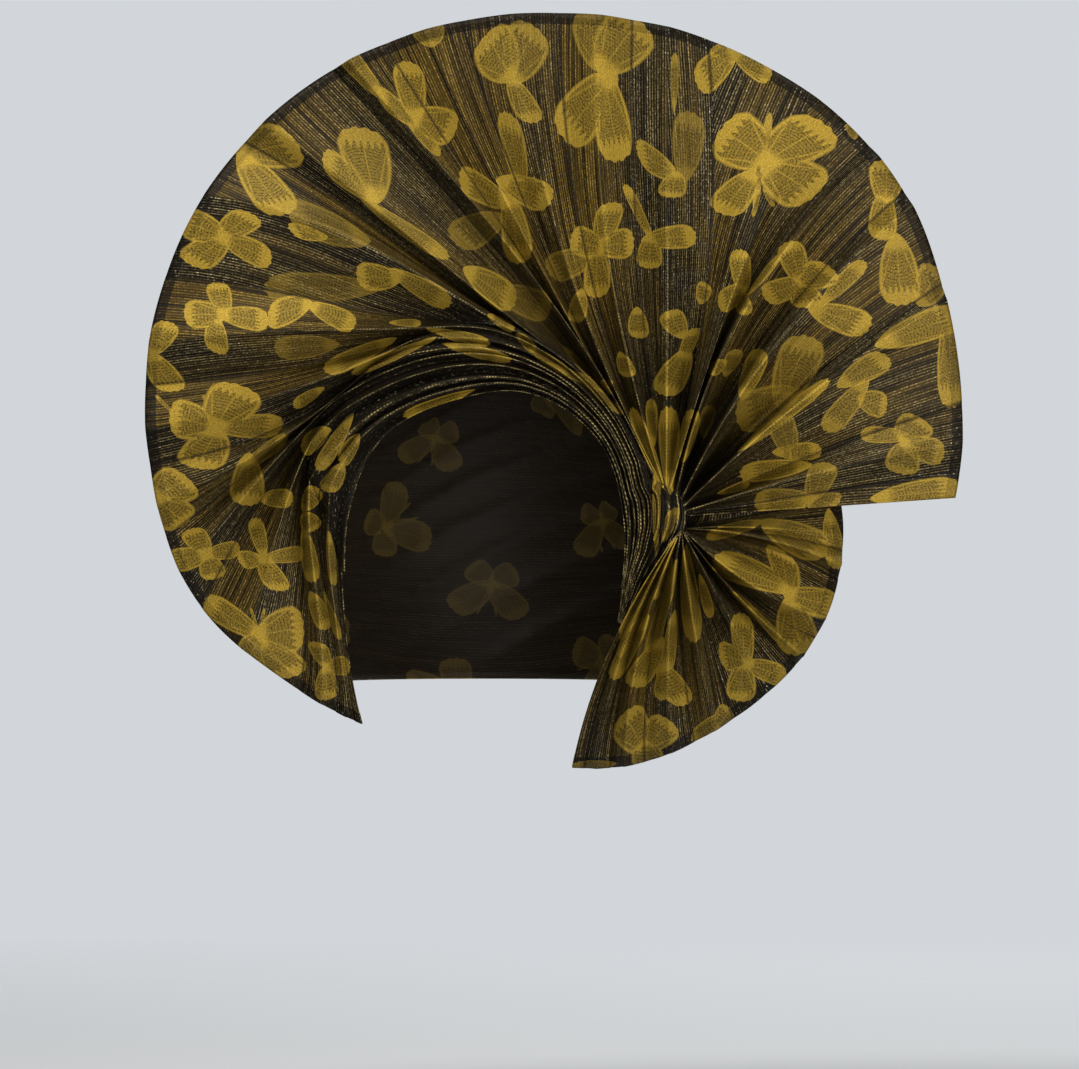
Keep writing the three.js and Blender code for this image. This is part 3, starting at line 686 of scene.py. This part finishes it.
def scattered_wings(high, spacing, seed):
    """Whole butterflies strewn evenly over a stretch of cloth, in millimetres."""
    chance = np.random.default_rng(seed)
    halves = np.stack(list(HALF_BUTTERFLY.values()), 1).reshape(-1, 3, 2)
    shapes = np.concatenate((halves, halves * (-1, 1)))
    middles, wings = [], []
    for _ in range(int(np.prod(high / spacing) * TRIES)):
        middle = chance.uniform((0, 0), high)
        face, half_span = chance.uniform(0, 360), chance.uniform(*HALF_SPANS)
        if middles and np.min(np.linalg.norm(np.array(middles) - middle, axis=1)) < spacing:
            continue
        middles.append(middle)
        axes = half_span * np.stack((polar(face, 1.0), polar(face + 90, 1.0)))
        wings += [wing_frame(*(middle + shape @ axes), SCATTERED_TONE, 1.0) for shape in shapes]
    return wings


def wing_half_width(up):
    """Half width of a wing at a place from its root to its tip, as a share of the widest."""
    swelling = np.clip((1 + up) / (1 + WIDEST), 0, 1) ** ROOT_POWER
    tip = np.clip((up - WIDEST) / (1 - WIDEST), 0, 1)
    return np.sin(swelling * np.pi / 2) * (1 - tip**TIP_POWER) ** (1 / TIP_POWER)


def wing_maps(corners, wings):
    """For each square the two wings it lies deepest in or nearest to: its corners in each wing's frame,
    with the wing's half length as third value, and the tones of both."""
    at, matrix, tone, length = (np.array(column) for column in zip(*wings))
    inside = np.einsum("wij,cwj->cwi", matrix, corners.mean(1)[:, None] - at)
    half_width, half_length = 1 / np.linalg.norm(matrix, axis=2).T
    beside = (np.abs(inside[..., 0]) - wing_half_width(inside[..., 1])) * half_width
    beyond = (np.abs(inside[..., 1]) - 1) * half_length
    deepest = np.argsort(np.maximum(beside, beyond), axis=1)[:, :2]
    maps = {}
    for label, which in zip(("wing", "next_wing"), deepest.T):
        local = np.einsum("cij,ckj->cki", matrix[which], corners - at[which][:, None])
        lengths = np.broadcast_to(length[which][:, None, None], (*local.shape[:2], 1))
        maps[label] = np.concatenate((local, lengths), -1)
    tones = np.pad(tone[deepest], ((0, 0), (0, 1)))
    maps["wing_tones"] = np.broadcast_to(tones[:, None], (*corners.shape[:2], 3))
    return maps


def only(piece):
    bpy.ops.object.select_all(action="DESELECT")
    piece.select_set(True)
    bpy.context.view_layer.objects.active = piece


def cloth_piece(name, place, maps, figure_corners, wings, thick, flip, closed_top=False):
    """A cloth of even squares, given its thickness: the right side in front, the reverse behind."""
    rows, columns = place.shape[:2]
    index = np.arange(rows * columns).reshape(rows, columns, 1)
    faces = square_corners(index)[..., 0]
    order = [3, 2, 1, 0] if flip else [0, 1, 2, 3]
    mesh = bpy.data.meshes.new(name)
    mesh.from_pydata((place.reshape(-1, 3) * MM).tolist(), [], faces[:, order].tolist())
    for label, values in zip(("cloth", "fold", "panel"), maps):
        layer = mesh.uv_layers.new(name=label)
        layer.data.foreach_set("uv", values[:, order].astype(np.float32).ravel())
    for label, values in wing_maps(figure_corners, wings).items():
        layer = mesh.attributes.new(label, "FLOAT_VECTOR", "CORNER")
        layer.data.foreach_set("vector", values[:, order].astype(np.float32).ravel())
    mesh.polygons.foreach_set("use_smooth", np.ones(len(faces), bool))
    for material in (RIGHT_SIDE, REVERSE_SIDE):
        mesh.materials.append(material)
    piece = bpy.data.objects.new(name, mesh)
    bpy.context.collection.objects.link(piece)
    only(piece)
    if closed_top:
        bpy.ops.object.mode_set(mode="EDIT")
        bpy.ops.mesh.select_all(action="SELECT")
        bpy.ops.mesh.remove_doubles(threshold=1e-6)
        bpy.ops.object.mode_set(mode="OBJECT")
    shell = piece.modifiers.new("cloth", "SOLIDIFY")
    shell.material_offset = 1
    shell.material_offset_rim = 0
    shell.thickness = np.max(thick) * MM
    shell.offset = -1.0 if closed_top else 0.0
    if np.ndim(thick):
        group = piece.vertex_groups.new(name="thickness")
        for level in np.unique(thick):
            group.add(np.flatnonzero(thick.ravel() == level).tolist(), level / np.max(thick), "REPLACE")
        shell.vertex_group = "thickness"
    bpy.ops.object.modifier_apply(modifier="cloth")
    return piece


def hem_thickness(cloth):
    """Thicker where the cloth is turned over along its hem."""
    turned = smoothstep(HEM_WIDTH + HEM_RAMP, HEM_WIDTH - HEM_RAMP / 2, cloth[..., 1])
    return CLOTH_THICK + (HEM_THICK - CLOTH_THICK) * np.round(turned, 1)


def linear(hex_colour):
    """An sRGB hex colour as linear values with full alpha."""
    parts = [int(hex_colour[i : i + 2], 16) / 255 for i in (1, 3, 5)]
    return [part / 12.92 if part <= 0.04045 else ((part + 0.055) / 1.055) ** 2.4 for part in parts] + [1.0]


def add_node(tree, kind, inputs=(), out=0, **settings):
    """Adds a node, sets it and links it. Inputs go by place or name, each a value or another's output."""
    made = tree.nodes.new("ShaderNode" + kind)
    for name, value in settings.items():
        setattr(made, name, value)
    for key, value in inputs.items() if isinstance(inputs, dict) else enumerate(inputs):
        if isinstance(value, bpy.types.NodeSocket):
            tree.links.new(value, made.inputs[key])
        else:
            made.inputs[key].default_value = value
    return made.outputs[out] if len(made.outputs) else made


RIB_PITCH = 0.8  # half the pitch of the woven ribs across a wing, drawn coarser than life
RIB_BOW = 0.25
SCALLOP = 0.022  # depth of the scallops along a wing's tip
SCALLOP_TURNS = 14.0
MARGIN = 0.52  # where the solid margin at a wing's tip begins
TEETH = 0.1  # depth of the teeth along the inside of that margin
TOOTH_TURNS = 1.6 * SCALLOP_TURNS
VEINS = 1.9  # veins in each radian about the wing's root
VEIN_START = 0.05  # keeps the veins apart at the root
LEAST_EDGE = 0.001  # keeps the outline from dividing by nothing at the root and tip

# Ranges below give where a value is read, from and to, and then what it is turned into, from and to
WING_EDGE = (0.94, 1.04, 1.0, 0.0)  # across the outline, which is at 1
VEIN_LINE = (0.03, 0.08, 0.75, 0.0)
WING_BODY = (-0.62, -0.3, 1.0, 0.0)
SIDE_MARGIN = (0.78, 0.86, 0.0, 0.9)
TIP_MARGIN = (MARGIN, MARGIN + 0.06, 0.0, 0.9)
RIB_FIELD = (0.1 * RIB_PITCH, 0.6 * RIB_PITCH, 0.16, 0.4)
SOLID_GOLD = 0.85


def butterfly_wing(add, label):
    """A woven wing in its own frame, root at -1 and tip at 1: where it is, and how bright its gold is.
    The body and a toothed margin are solid gold, the field between them is ribbed, with veins."""
    side = add("SeparateXYZ", [add("Attribute", out=1, attribute_name=label)])
    up, length = side.node.outputs[1:3]
    swelling = add("Math", [add("MapRange", [up, -1.0, WIDEST, 0.0, 1.0]), ROOT_POWER], operation="POWER")
    swelling = add("Math", [add("Math", [swelling, np.pi / 2], operation="MULTIPLY")], operation="SINE")
    scallop = add("Math", [add("Math", [side, SCALLOP_TURNS], operation="MULTIPLY")], operation="COSINE")
    tip = add("MapRange", [add("Math", [scallop, SCALLOP, up], operation="MULTIPLY_ADD"), WIDEST, 1.0])
    tip = add("Math", [1.0, add("Math", [tip, TIP_POWER], operation="POWER")], operation="SUBTRACT")
    tip = add("Math", [tip, 1 / TIP_POWER], operation="POWER")
    edge = add("Math", [swelling, tip], operation="MULTIPLY")
    edge = add("Math", [edge, LEAST_EDGE], operation="MAXIMUM")
    inner = add("Math", [add("Math", [side], operation="ABSOLUTE"), edge], operation="DIVIDE")
    mask = add("MapRange", [inner, *WING_EDGE])

    from_root = add("Math", [add("Math", [up, 1.0], operation="ADD"), 0.0], operation="MAXIMUM")
    turn = add("Math", [side, add("Math", [from_root, VEIN_START], operation="ADD")], operation="ARCTAN2")
    vein = add("Math", [add("Math", [turn, VEINS], operation="MULTIPLY"), 0.5], operation="PINGPONG")
    vein = add("MapRange", [add("Math", [vein, from_root], operation="MULTIPLY"), *VEIN_LINE])
    body = add("MapRange", [up, *WING_BODY])
    solid = add("Math", [vein, body], operation="MAXIMUM")
    solid = add("Math", [solid, add("MapRange", [inner, *SIDE_MARGIN])], operation="MAXIMUM")
    teeth = add("Math", [add("Math", [side, TOOTH_TURNS], operation="MULTIPLY")], operation="SINE")
    toothed = add("Math", [teeth, TEETH, up], operation="MULTIPLY_ADD")
    margin = add("MapRange", [toothed, *TIP_MARGIN])
    solid = add("Math", [solid, margin], operation="MAXIMUM")
    bow = add("Math", [side, side], operation="MULTIPLY")
    bow = add("Math", [bow, RIB_BOW, from_root], operation="MULTIPLY_ADD")
    rib = add("Math", [add("Math", [bow, length], operation="MULTIPLY"), RIB_PITCH], operation="PINGPONG")
    field = add("MapRange", [rib, *RIB_FIELD])
    light = add("Math", [add("Math", [solid, SOLID_GOLD], operation="MULTIPLY"), field], operation="MAXIMUM")
    return mask, light


YARN_PITCH = 0.68  # half the pitch of the bright warp yarns, drawn coarser than life so that they show
YARN_LENGTH = 30.0  # length of a slub on a yarn
SLUB_WIDTH = 1.1 * YARN_PITCH
PICK_PITCH = 0.75  # half the pitch of the weft's picks over a yarn, also drawn coarser
PICK_SLANT = 0.8  # how far the picks shift from yarn to yarn, as a twill's do
DOT_WIDTH = 0.6  # knots that break up the yarns
DOT_LENGTH = 2.0
STREAK_WIDTH = 2.2
STREAK_LENGTH = 120.0
GRAIN = 0.9  # pebbled look of the weave, drawn coarser than life
# Pitch of the painted glints
SPARK_PITCH = 1.2
CLOUD_WIDTH = 24.0
CLOUD_LENGTH = 150.0
CREST_HIGHLIGHT_WIDTH = 0.7  # width of the painted highlight along a fold's crest
CREST_DOT = 0.75  # half the pitch of the dots that break up that painted highlight
# Width of the painted shade along each fold's valley
VALLEY_SHADE_WIDTH = 1.6
EDGE_BREAK = 6.0  # length over which the painted highlight along a fold's crest comes and goes
BLACK = "#080605"
GROUND_BROWN = "#3a2d0f"
SILVER = "#c2b17c"
YARN_GOLD = "#a0853a"
WING_SHADE = "#362c0f"
WING_GOLD = "#937a2b"
# Colour of the painted highlight along the fold crests
PAINTED_CREST_HIGHLIGHT = "#c8b67a"
# Colour of the painted glints
PAINTED_GLINT = "#d6cca8"
REVERSE_BROWN = "#1a130a"
REVERSE_YARN = "#4a4028"
REVERSE_SHADE = "#2c2410"
REVERSE_WING = "#4d4019"

# Ranges of the same kind for the ground; those that read a pattern read its middle values
YARN_LINE = (0.45 * YARN_PITCH, 0.95 * YARN_PITCH, 0.0, 1.0)
PICK_SHARE = (0.0, PICK_PITCH, 0.35, 1.0)
SLUB_SHARE = (0.36, 0.58, 0.2, 1.0)
DOT_SHARE = (0.36, 0.6, 0.25, 1.0)
CLOUD_WARMTH = (0.3, 0.7, -0.3, 0.3)
STREAK_WARMTH = (0.36, 0.62, 0.1, 1.0)
PANEL_WARMTH = (0.1, 0.9, 0.05, 1.0)
YARN_WARMTH = (0.1, 0.8, 0.0, 1.0)
YARN_SHOWS = (0.0, 1.0, 0.48, 0.88)
STREAK_SHOWS = (0.4, 0.54, 0.45, 1.0)
# Painted shade that darkens the ground away from the crests, near the folds' roots
PLEAT_PAINTED_SHADE = (0.0, 4 * CREST_HIGHLIGHT_WIDTH, 0.6, 0.92)
ROOT_PAINTED_SHADE = (0.0, 0.4, 1.0, 0.0)
GRAIN_LIGHT = (0.3, 0.7, -0.22, 0.22)
YARN_LIGHT = 0.12
HEM_DARK = (HEM_WIDTH - 0.3, HEM_WIDTH, 1.0, 0.0)
HEM_UNDER_FIGURE = (0.0, 1.0, 0.8, 0.25)
# Painted highlight along each crest: its width, its fading away from the root, its breaks and its dots
CREST_EDGE = (0.0, CREST_HIGHLIGHT_WIDTH, 1.0, 0.0)
CREST_ALONG = (0.1, 0.6, 0.75, 0.05)
CREST_BROKEN = (0.45, 0.63, 0.03, 1.0)
CREST_PICKS = (0.35 * CREST_DOT, CREST_DOT, 0.12, 1.0)
GROUND_SHARE = (0.0, 1.0, 1.0, 0.25)
# Painted shade along each valley
VALLEY_PAINTED_SHADE = (0.0, VALLEY_SHADE_WIDTH, 0.85, 0.0)
# Painted glints: their shape, size, choice and where they fall
SPARK_SQUASH = 0.7
SPARK_SIZE = (0.1, 0.34, 1.0, 0.0)
SPARK_CHOICE = (0.5, 0.9, 0.0, 1.0)
SPARK_ON_YARN = (0.05, 0.4, 0.25, 1.0)
SPARK_ON_STREAK = (0.42, 0.68, 0.0, 0.75)
SPARK_BY_WARMTH = (0.2, 1.0, 1.0, 0.3)
FIGURE_METAL = (0.0, 1.0, 0.15, 0.25)
FIGURE_GRAIN = 0.6
WEAVE_DEPTH = 0.0004  # in metres
REVERSE_YARN_SHARE = 0.35
REVERSE_WING_SHARE = 0.55


def uneven_weave(add, cloth, width, length, detail):
    """A soft random pattern along the yarns, with cells of this size in millimetres."""
    place = add("VectorMath", [cloth, (1 / width, 1 / length, 0)], operation="MULTIPLY")
    return add("TexNoise", {"Vector": place, "Scale": 1.0, "Detail": detail}, noise_dimensions="2D")


def woven_yarns(add, cloth, across):
    """Bright warp yarns along the folds, with slubs and picks of the weft that make them come and go."""
    slubs = uneven_weave(add, cloth, SLUB_WIDTH, YARN_LENGTH, 1.0)
    dots = uneven_weave(add, cloth, DOT_WIDTH, DOT_LENGTH, 0.0)
    yarns = add("Math", [across, YARN_PITCH], operation="PINGPONG")
    yarns = add("MapRange", [yarns, *YARN_LINE])
    slanted = add("VectorMath", [cloth, (PICK_SLANT, 1.0, 0.0)], out=1, operation="DOT_PRODUCT")
    picks = add("Math", [slanted, PICK_PITCH], operation="PINGPONG")
    for pattern, share in ((picks, PICK_SHARE), (slubs, SLUB_SHARE), (dots, DOT_SHARE)):
        yarns = add("Math", [yarns, add("MapRange", [pattern, *share])], operation="MULTIPLY")
    return yarns


def new_material(name):
    material = bpy.data.materials.new(name)
    material.use_nodes = True
    material.node_tree.nodes.clear()
    return material, partial(add_node, material.node_tree)


def figured_side():
    """Lurex jacquard: a black ground with bright warp yarns along the folds, and gold wings woven in ribs.
    The eye sees fine streaks, painted glints along the yarns and a soft metal gleam on the wings; painted
    highlights run along the crests and painted shade darkens the valleys and the pleats near the root."""
    material, add = new_material("figured_lurex_jacquard")
    cloth = add("UVMap", uv_map="cloth")
    across = add("SeparateXYZ", [cloth])
    down = across.node.outputs[1]
    gold = add("SeparateXYZ", [add("UVMap", uv_map="panel")])
    along = gold.node.outputs[1]
    crest = add("SeparateXYZ", [add("UVMap", uv_map="fold")])
    valley_place = crest.node.outputs[1]

    yarns = woven_yarns(add, cloth, across)
    streaks = uneven_weave(add, cloth, STREAK_WIDTH, STREAK_LENGTH, 2.0)
    cloud = uneven_weave(add, cloth, CLOUD_WIDTH, CLOUD_LENGTH, 2.0)
    grain = uneven_weave(add, cloth, GRAIN, GRAIN, 1.0)
    # The panels' gold, partly the cloth's own tone and partly painted sheen and shade for the way each panel
    # faces the light, warms the ground and its yarns
    warmth = add("Math", [add("MapRange", [cloud, *CLOUD_WARMTH]), gold], operation="ADD")
    warm = add("MapRange", [streaks, *STREAK_WARMTH])
    warm = add("Math", [warm, add("MapRange", [warmth, *PANEL_WARMTH])], operation="MULTIPLY")
    ground = add("MixRGB", [warm, linear(BLACK), linear(GROUND_BROWN)])
    yarn_warmth = add("MapRange", [warmth, *YARN_WARMTH])
    yarn_colour = add("MixRGB", [yarn_warmth, linear(SILVER), linear(YARN_GOLD)])
    shows = add("Math", [yarns, add("MapRange", [warmth, *YARN_SHOWS])], operation="MULTIPLY")
    shows = add("Math", [shows, add("MapRange", [streaks, *STREAK_SHOWS])], operation="MULTIPLY")
    ground = add("MixRGB", [shows, ground, yarn_colour])
    # Painted shade: near the root the ground turns black away from the crests, where deep pleats lie in
    # shadow
    deep = add("MapRange", [crest, *PLEAT_PAINTED_SHADE])
    deep = add("Math", [deep, add("MapRange", [along, *ROOT_PAINTED_SHADE])], operation="MULTIPLY")
    ground = add("MixRGB", [deep, ground, linear(BLACK)])

    weave = add("MapRange", [grain, *GRAIN_LIGHT])
    weave = add("Math", [yarns, YARN_LIGHT, weave], operation="MULTIPLY_ADD")
    tone = add("SeparateXYZ", [add("Attribute", out=1, attribute_name="wing_tones")])
    colour, figure = ground, 0.0
    for label, wing_tone in (("next_wing", tone.node.outputs[1]), ("wing", tone)):
        mask, light = butterfly_wing(add, label)
        light = add("Math", [light, weave], operation="ADD")
        wing_gold = add("MixRGB", [light, linear(WING_SHADE), linear(WING_GOLD)])
        # Painted shade in part: a wing of lower tone lets more of the dark ground show through
        covers = add("Math", [mask, wing_tone], operation="MULTIPLY")
        colour = add("MixRGB", [covers, colour, wing_gold])
        figure = add("Math", [covers, figure], operation="MAXIMUM")

    in_hem = add("MapRange", [down, *HEM_DARK])
    in_hem = add("Math", [in_hem, add("MapRange", [figure, *HEM_UNDER_FIGURE])], operation="MULTIPLY")
    colour = add("MixRGB", [in_hem, colour, linear(BLACK)])

    # Painted highlight: a light colour along each fold's crest, strongest near the root and broken into dots
    crest_highlight = add("MapRange", [crest, *CREST_EDGE])
    broken = uneven_weave(add, cloth, EDGE_BREAK, EDGE_BREAK, 1.0)
    picks = add("Math", [down, CREST_DOT], operation="PINGPONG")
    for pattern, share in ((along, CREST_ALONG), (broken, CREST_BROKEN), (picks, CREST_PICKS)):
        crest_highlight = add("Math", [crest_highlight, add("MapRange", [pattern, *share])], operation="MULTIPLY")
    ground_share = add("MapRange", [figure, *GROUND_SHARE])
    crest_highlight = add("Math", [crest_highlight, ground_share], operation="MULTIPLY")
    colour = add("MixRGB", [crest_highlight, colour, linear(PAINTED_CREST_HIGHLIGHT)])
    # Painted shade: a dark line along each fold's valley
    shade = add("MapRange", [valley_place, *VALLEY_PAINTED_SHADE])
    colour = add("MixRGB", [shade, colour, linear(BLACK)])

    # Painted glints: light dots along the yarns and streaks, mixed into the colour
    spark_scale = (1 / SPARK_PITCH, SPARK_SQUASH / SPARK_PITCH, 0)
    spark_place = add("VectorMath", [cloth, spark_scale], operation="MULTIPLY")
    spark = add("TexVoronoi", {"Vector": spark_place, "Scale": 1.0}, voronoi_dimensions="2D")
    near = add("MapRange", [spark, *SPARK_SIZE])
    chosen = add("MapRange", [add("SeparateXYZ", [spark.node.outputs[1]]), *SPARK_CHOICE])
    glint = add("Math", [near, chosen], operation="MULTIPLY")
    for pattern, share in ((yarns, SPARK_ON_YARN), (streaks, SPARK_ON_STREAK), (warmth, SPARK_BY_WARMTH)):
        glint = add("Math", [glint, add("MapRange", [pattern, *share])], operation="MULTIPLY")
    glint = add("Math", [glint, ground_share], operation="MULTIPLY")
    colour = add("MixRGB", [glint, colour, linear(PAINTED_GLINT)])

    metal = add("MapRange", [figure, *FIGURE_METAL])
    relief = add("Math", [figure, FIGURE_GRAIN], operation="MULTIPLY")
    relief = add("Math", [grain, relief], operation="MULTIPLY")
    relief = add("Math", [yarns, relief], operation="ADD")
    bump = add("Bump", {"Strength": 0.4, "Distance": WEAVE_DEPTH, "Height": relief})
    shader = add("BsdfPrincipled", {
        "Base Color": colour, "Metallic": metal, "Roughness": 0.5, "Specular IOR Level": 0.07, "Normal": bump,
    })
    add("OutputMaterial", [shader])
    return material


def reverse_side():
    """Reverse of the jacquard, where the gold yarns mostly lie inside: the eye sees dull near-black cloth
    with the wings as faint brown shapes."""
    material, add = new_material("plain_jacquard_reverse")
    cloth = add("UVMap", uv_map="cloth")
    yarns = woven_yarns(add, cloth, add("SeparateXYZ", [cloth]))
    streaks = uneven_weave(add, cloth, STREAK_WIDTH, STREAK_LENGTH, 2.0)
    ground = add("MixRGB", [streaks, linear(BLACK), linear(REVERSE_BROWN)])
    shows = add("Math", [yarns, REVERSE_YARN_SHARE], operation="MULTIPLY")
    colour = add("MixRGB", [shows, ground, linear(REVERSE_YARN)])
    for label in ("next_wing", "wing"):
        mask, light = butterfly_wing(add, label)
        wing_brown = add("MixRGB", [light, linear(REVERSE_SHADE), linear(REVERSE_WING)])
        covers = add("Math", [mask, REVERSE_WING_SHARE], operation="MULTIPLY")
        colour = add("MixRGB", [covers, colour, wing_brown])
    bump = add("Bump", {"Strength": 0.3, "Distance": WEAVE_DEPTH, "Height": yarns})
    shader = add("BsdfPrincipled", {
        "Base Color": colour, "Roughness": 0.6, "Specular IOR Level": 0.14, "Normal": bump,
    })
    add("OutputMaterial", [shader])
    return material


RIGHT_SIDE = figured_side()
REVERSE_SIDE = reverse_side()


def joined(first, second, first_maps, second_maps):
    """Two grids that share an edge column as one, with their maps in the order of its squares."""
    rows = first.shape[0] - 1
    maps = []
    for one, other in zip(first_maps, second_maps):
        sides = (one.reshape(rows, -1, 4, 2), other.reshape(rows, -1, 4, 2))
        maps.append(np.concatenate(sides, 1).reshape(-1, 4, 2))
    return np.concatenate((first, second[:, 1:]), 1), maps


CROWN_SPACING = 52.0  # least distance between the butterflies on the crown
CROWN_SEED = 7
CROWN_GOLD = 0.5
FLAP_GOLD = 0.3


def make_pieces():
    fan_place, fan_cloth = main_fan()
    band_place, band_cloth, rim_deg = face_band()
    flap_place, flap_cloth = band_flap(band_place, band_cloth, rim_deg)
    lower_place, lower_cloth = lower_fan()
    crown_place, crown_cloth = crown_wrap()
    upper_wings, lower_wings = charted_wings(UPPER_WINGS), charted_wings(LOWER_WINGS)
    crown_wings = scattered_wings(crown_cloth.reshape(-1, 2).max(0), CROWN_SPACING, CROWN_SEED)
    fan_along = np.broadcast_to(FAN_ROWS[:, None], fan_place.shape[:2])
    fan_maps = panel_cloth(
        fan_place, FAN_COLUMNS, fan_cloth[..., 1], fan_along, FAN_CREASES, CREASE_NUMBERS >= 0
    )
    # The band counts as at its folds' root throughout: painted shade darkens its ground away from the crests,
    # and the painted highlights along them are at their strongest
    at_root = np.zeros(band_place.shape[:2])
    band_maps = panel_cloth(
        band_place, BAND_COLUMNS, band_cloth[..., 1], at_root, BAND_CREASES, BAND_FOLDS
    )
    lower_along = np.broadcast_to(LOWER_OPENS * LOWER_ROWS[:, None], lower_place.shape[:2])
    lower_maps = panel_cloth(
        lower_place, LOWER_COLUMNS, lower_cloth[..., 1], lower_along, LOWER_CREASES,
        LOWER_CREASES["reach"] > 0,
    )
    crown_maps = plain_maps(crown_cloth, gold=CROWN_GOLD, along=1.0)
    # The turned-in flap counts as at the root too, so painted shade darkens it
    flap_maps = plain_maps(flap_cloth, gold=FLAP_GOLD, along=0.0)
    flap_maps[1][..., 0] = flap_maps[0][..., 0] - fan_across(FAN_LAST)
    band_all, band_maps = joined(band_place, flap_place, band_maps, flap_maps)
    return {
        "main_fan": cloth_piece(
            "gele_main_fan", fan_place, fan_maps, square_corners(in_photo(fan_place)), upper_wings,
            hem_thickness(fan_cloth), True,
        ),
        "face_band": cloth_piece(
            "gele_face_band", band_all, band_maps, square_corners(in_photo(band_all)), upper_wings,
            CLOTH_THICK, True,
        ),
        "lower_fan": cloth_piece(
            "gele_lower_fan", lower_place, lower_maps, square_corners(in_photo(lower_place)), lower_wings,
            hem_thickness(lower_cloth), False,
        ),
        "crown_wrap": cloth_piece(
            "gele_crown_wrap", crown_place, crown_maps, crown_maps[0], crown_wings, CROWN_THICK, False, True
        ),
    }


# Studio, in metres and watts: a round floor of paper that fades into a pale room, and softboxes
FLOOR_HEIGHT = -0.265
FLOOR_RADIUS = 1.7
FLOOR_FADES = 0.4  # radius from which the paper fades
PAPER = "#a6a9ac"
ROOM = "#d2d6da"
ROOM_SEEN = 1.0
ROOM_LIGHT = 0.34  # how strongly the room lights the cloth
LAMP_AIM = np.array((0.02, 0.0, 0.03))
LAMPS = {
    "key_softbox": {"place": (-0.5, -1.0, 1.8), "size": 0.6, "power": 33, "colour": "#fffaf2"},
    "fill_softbox": {"place": (1.1, -1.5, -0.1), "size": 1.0, "power": 33, "colour": "#fff9f0"},
    "low_softbox": {"place": (-0.2, -1.7, -0.1), "size": 0.8, "power": 16, "colour": "#fff9f0"},
    "top_softbox": {"place": (0.2, -0.3, 1.7), "size": 1.0, "power": 16, "colour": "#ffffff"},
    "back_softbox": {"place": (0.5, 1.9, 0.9), "size": 1.2, "power": 30, "colour": "#ffffff"},
}


def paper_floor():
    """Matt paper: the eye sees an even pale floor that has no edge."""
    material, add = new_material("pale_paper")
    radius = add("VectorMath", [add("TexCoord", out=3)], out=1, operation="LENGTH")
    fades = add("MapRange", [radius, FLOOR_FADES, FLOOR_RADIUS, 0.0, 1.0])
    paper = add("BsdfPrincipled", {"Base Color": linear(PAPER), "Roughness": 0.9})
    add("OutputMaterial", [add("MixShader", [fades, paper, add("BsdfTransparent")])])
    bpy.ops.object.select_all(action="DESELECT")
    bpy.ops.mesh.primitive_circle_add(
        vertices=96, radius=FLOOR_RADIUS, fill_type="NGON", location=(0, 0, FLOOR_HEIGHT)
    )
    floor = bpy.context.object
    floor.name = "studio_floor"
    floor.data.materials.append(material)


def pale_room():
    """The room is seen pale all round, but lights the cloth less, so that its folds keep their shadows."""
    world = bpy.data.worlds.new("pale_room")
    world.use_nodes = True
    world.node_tree.nodes.clear()
    add = partial(add_node, world.node_tree)
    strength = add("MapRange", [add("LightPath"), 0.0, 1.0, ROOM_LIGHT, ROOM_SEEN])
    add("OutputWorld", [add("Background", [linear(ROOM), strength])])
    bpy.context.scene.world = world


def softbox(name, place, size, power, colour):
    light = bpy.data.lights.new(name, "AREA")
    light.size = size
    light.energy = power
    light.color = linear(colour)[:3]
    lamp = bpy.data.objects.new(name, light)
    lamp.location = place
    lamp.rotation_euler = Vector(LAMP_AIM - place).to_track_quat("-Z", "Y").to_euler()
    bpy.context.collection.objects.link(lamp)


def photo_camera():
    camera = bpy.data.cameras.new("camera")
    camera.sensor_width = SENSOR
    camera.lens = SENSOR * CAMERA_DISTANCE / (PHOTO_WIDTH * MM_PER_PIXEL)
    eye = bpy.data.objects.new("camera", camera)
    eye.location = (CAMERA_X * MM, (VIEW_DEPTH - CAMERA_DISTANCE) * MM, CAMERA_Z * MM)
    eye.rotation_euler = (np.pi / 2, 0, 0)
    bpy.context.collection.objects.link(eye)
    bpy.context.scene.camera = eye
    bpy.context.scene.view_settings.view_transform = "Standard"


def studio():
    paper_floor()
    pale_room()
    for name, lamp in LAMPS.items():
        softbox(name, **lamp)
    photo_camera()


def main():
    studio()
    pieces = make_pieces()
    for node, piece in pieces.items():
        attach(piece, "root")
        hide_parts(node)


main()
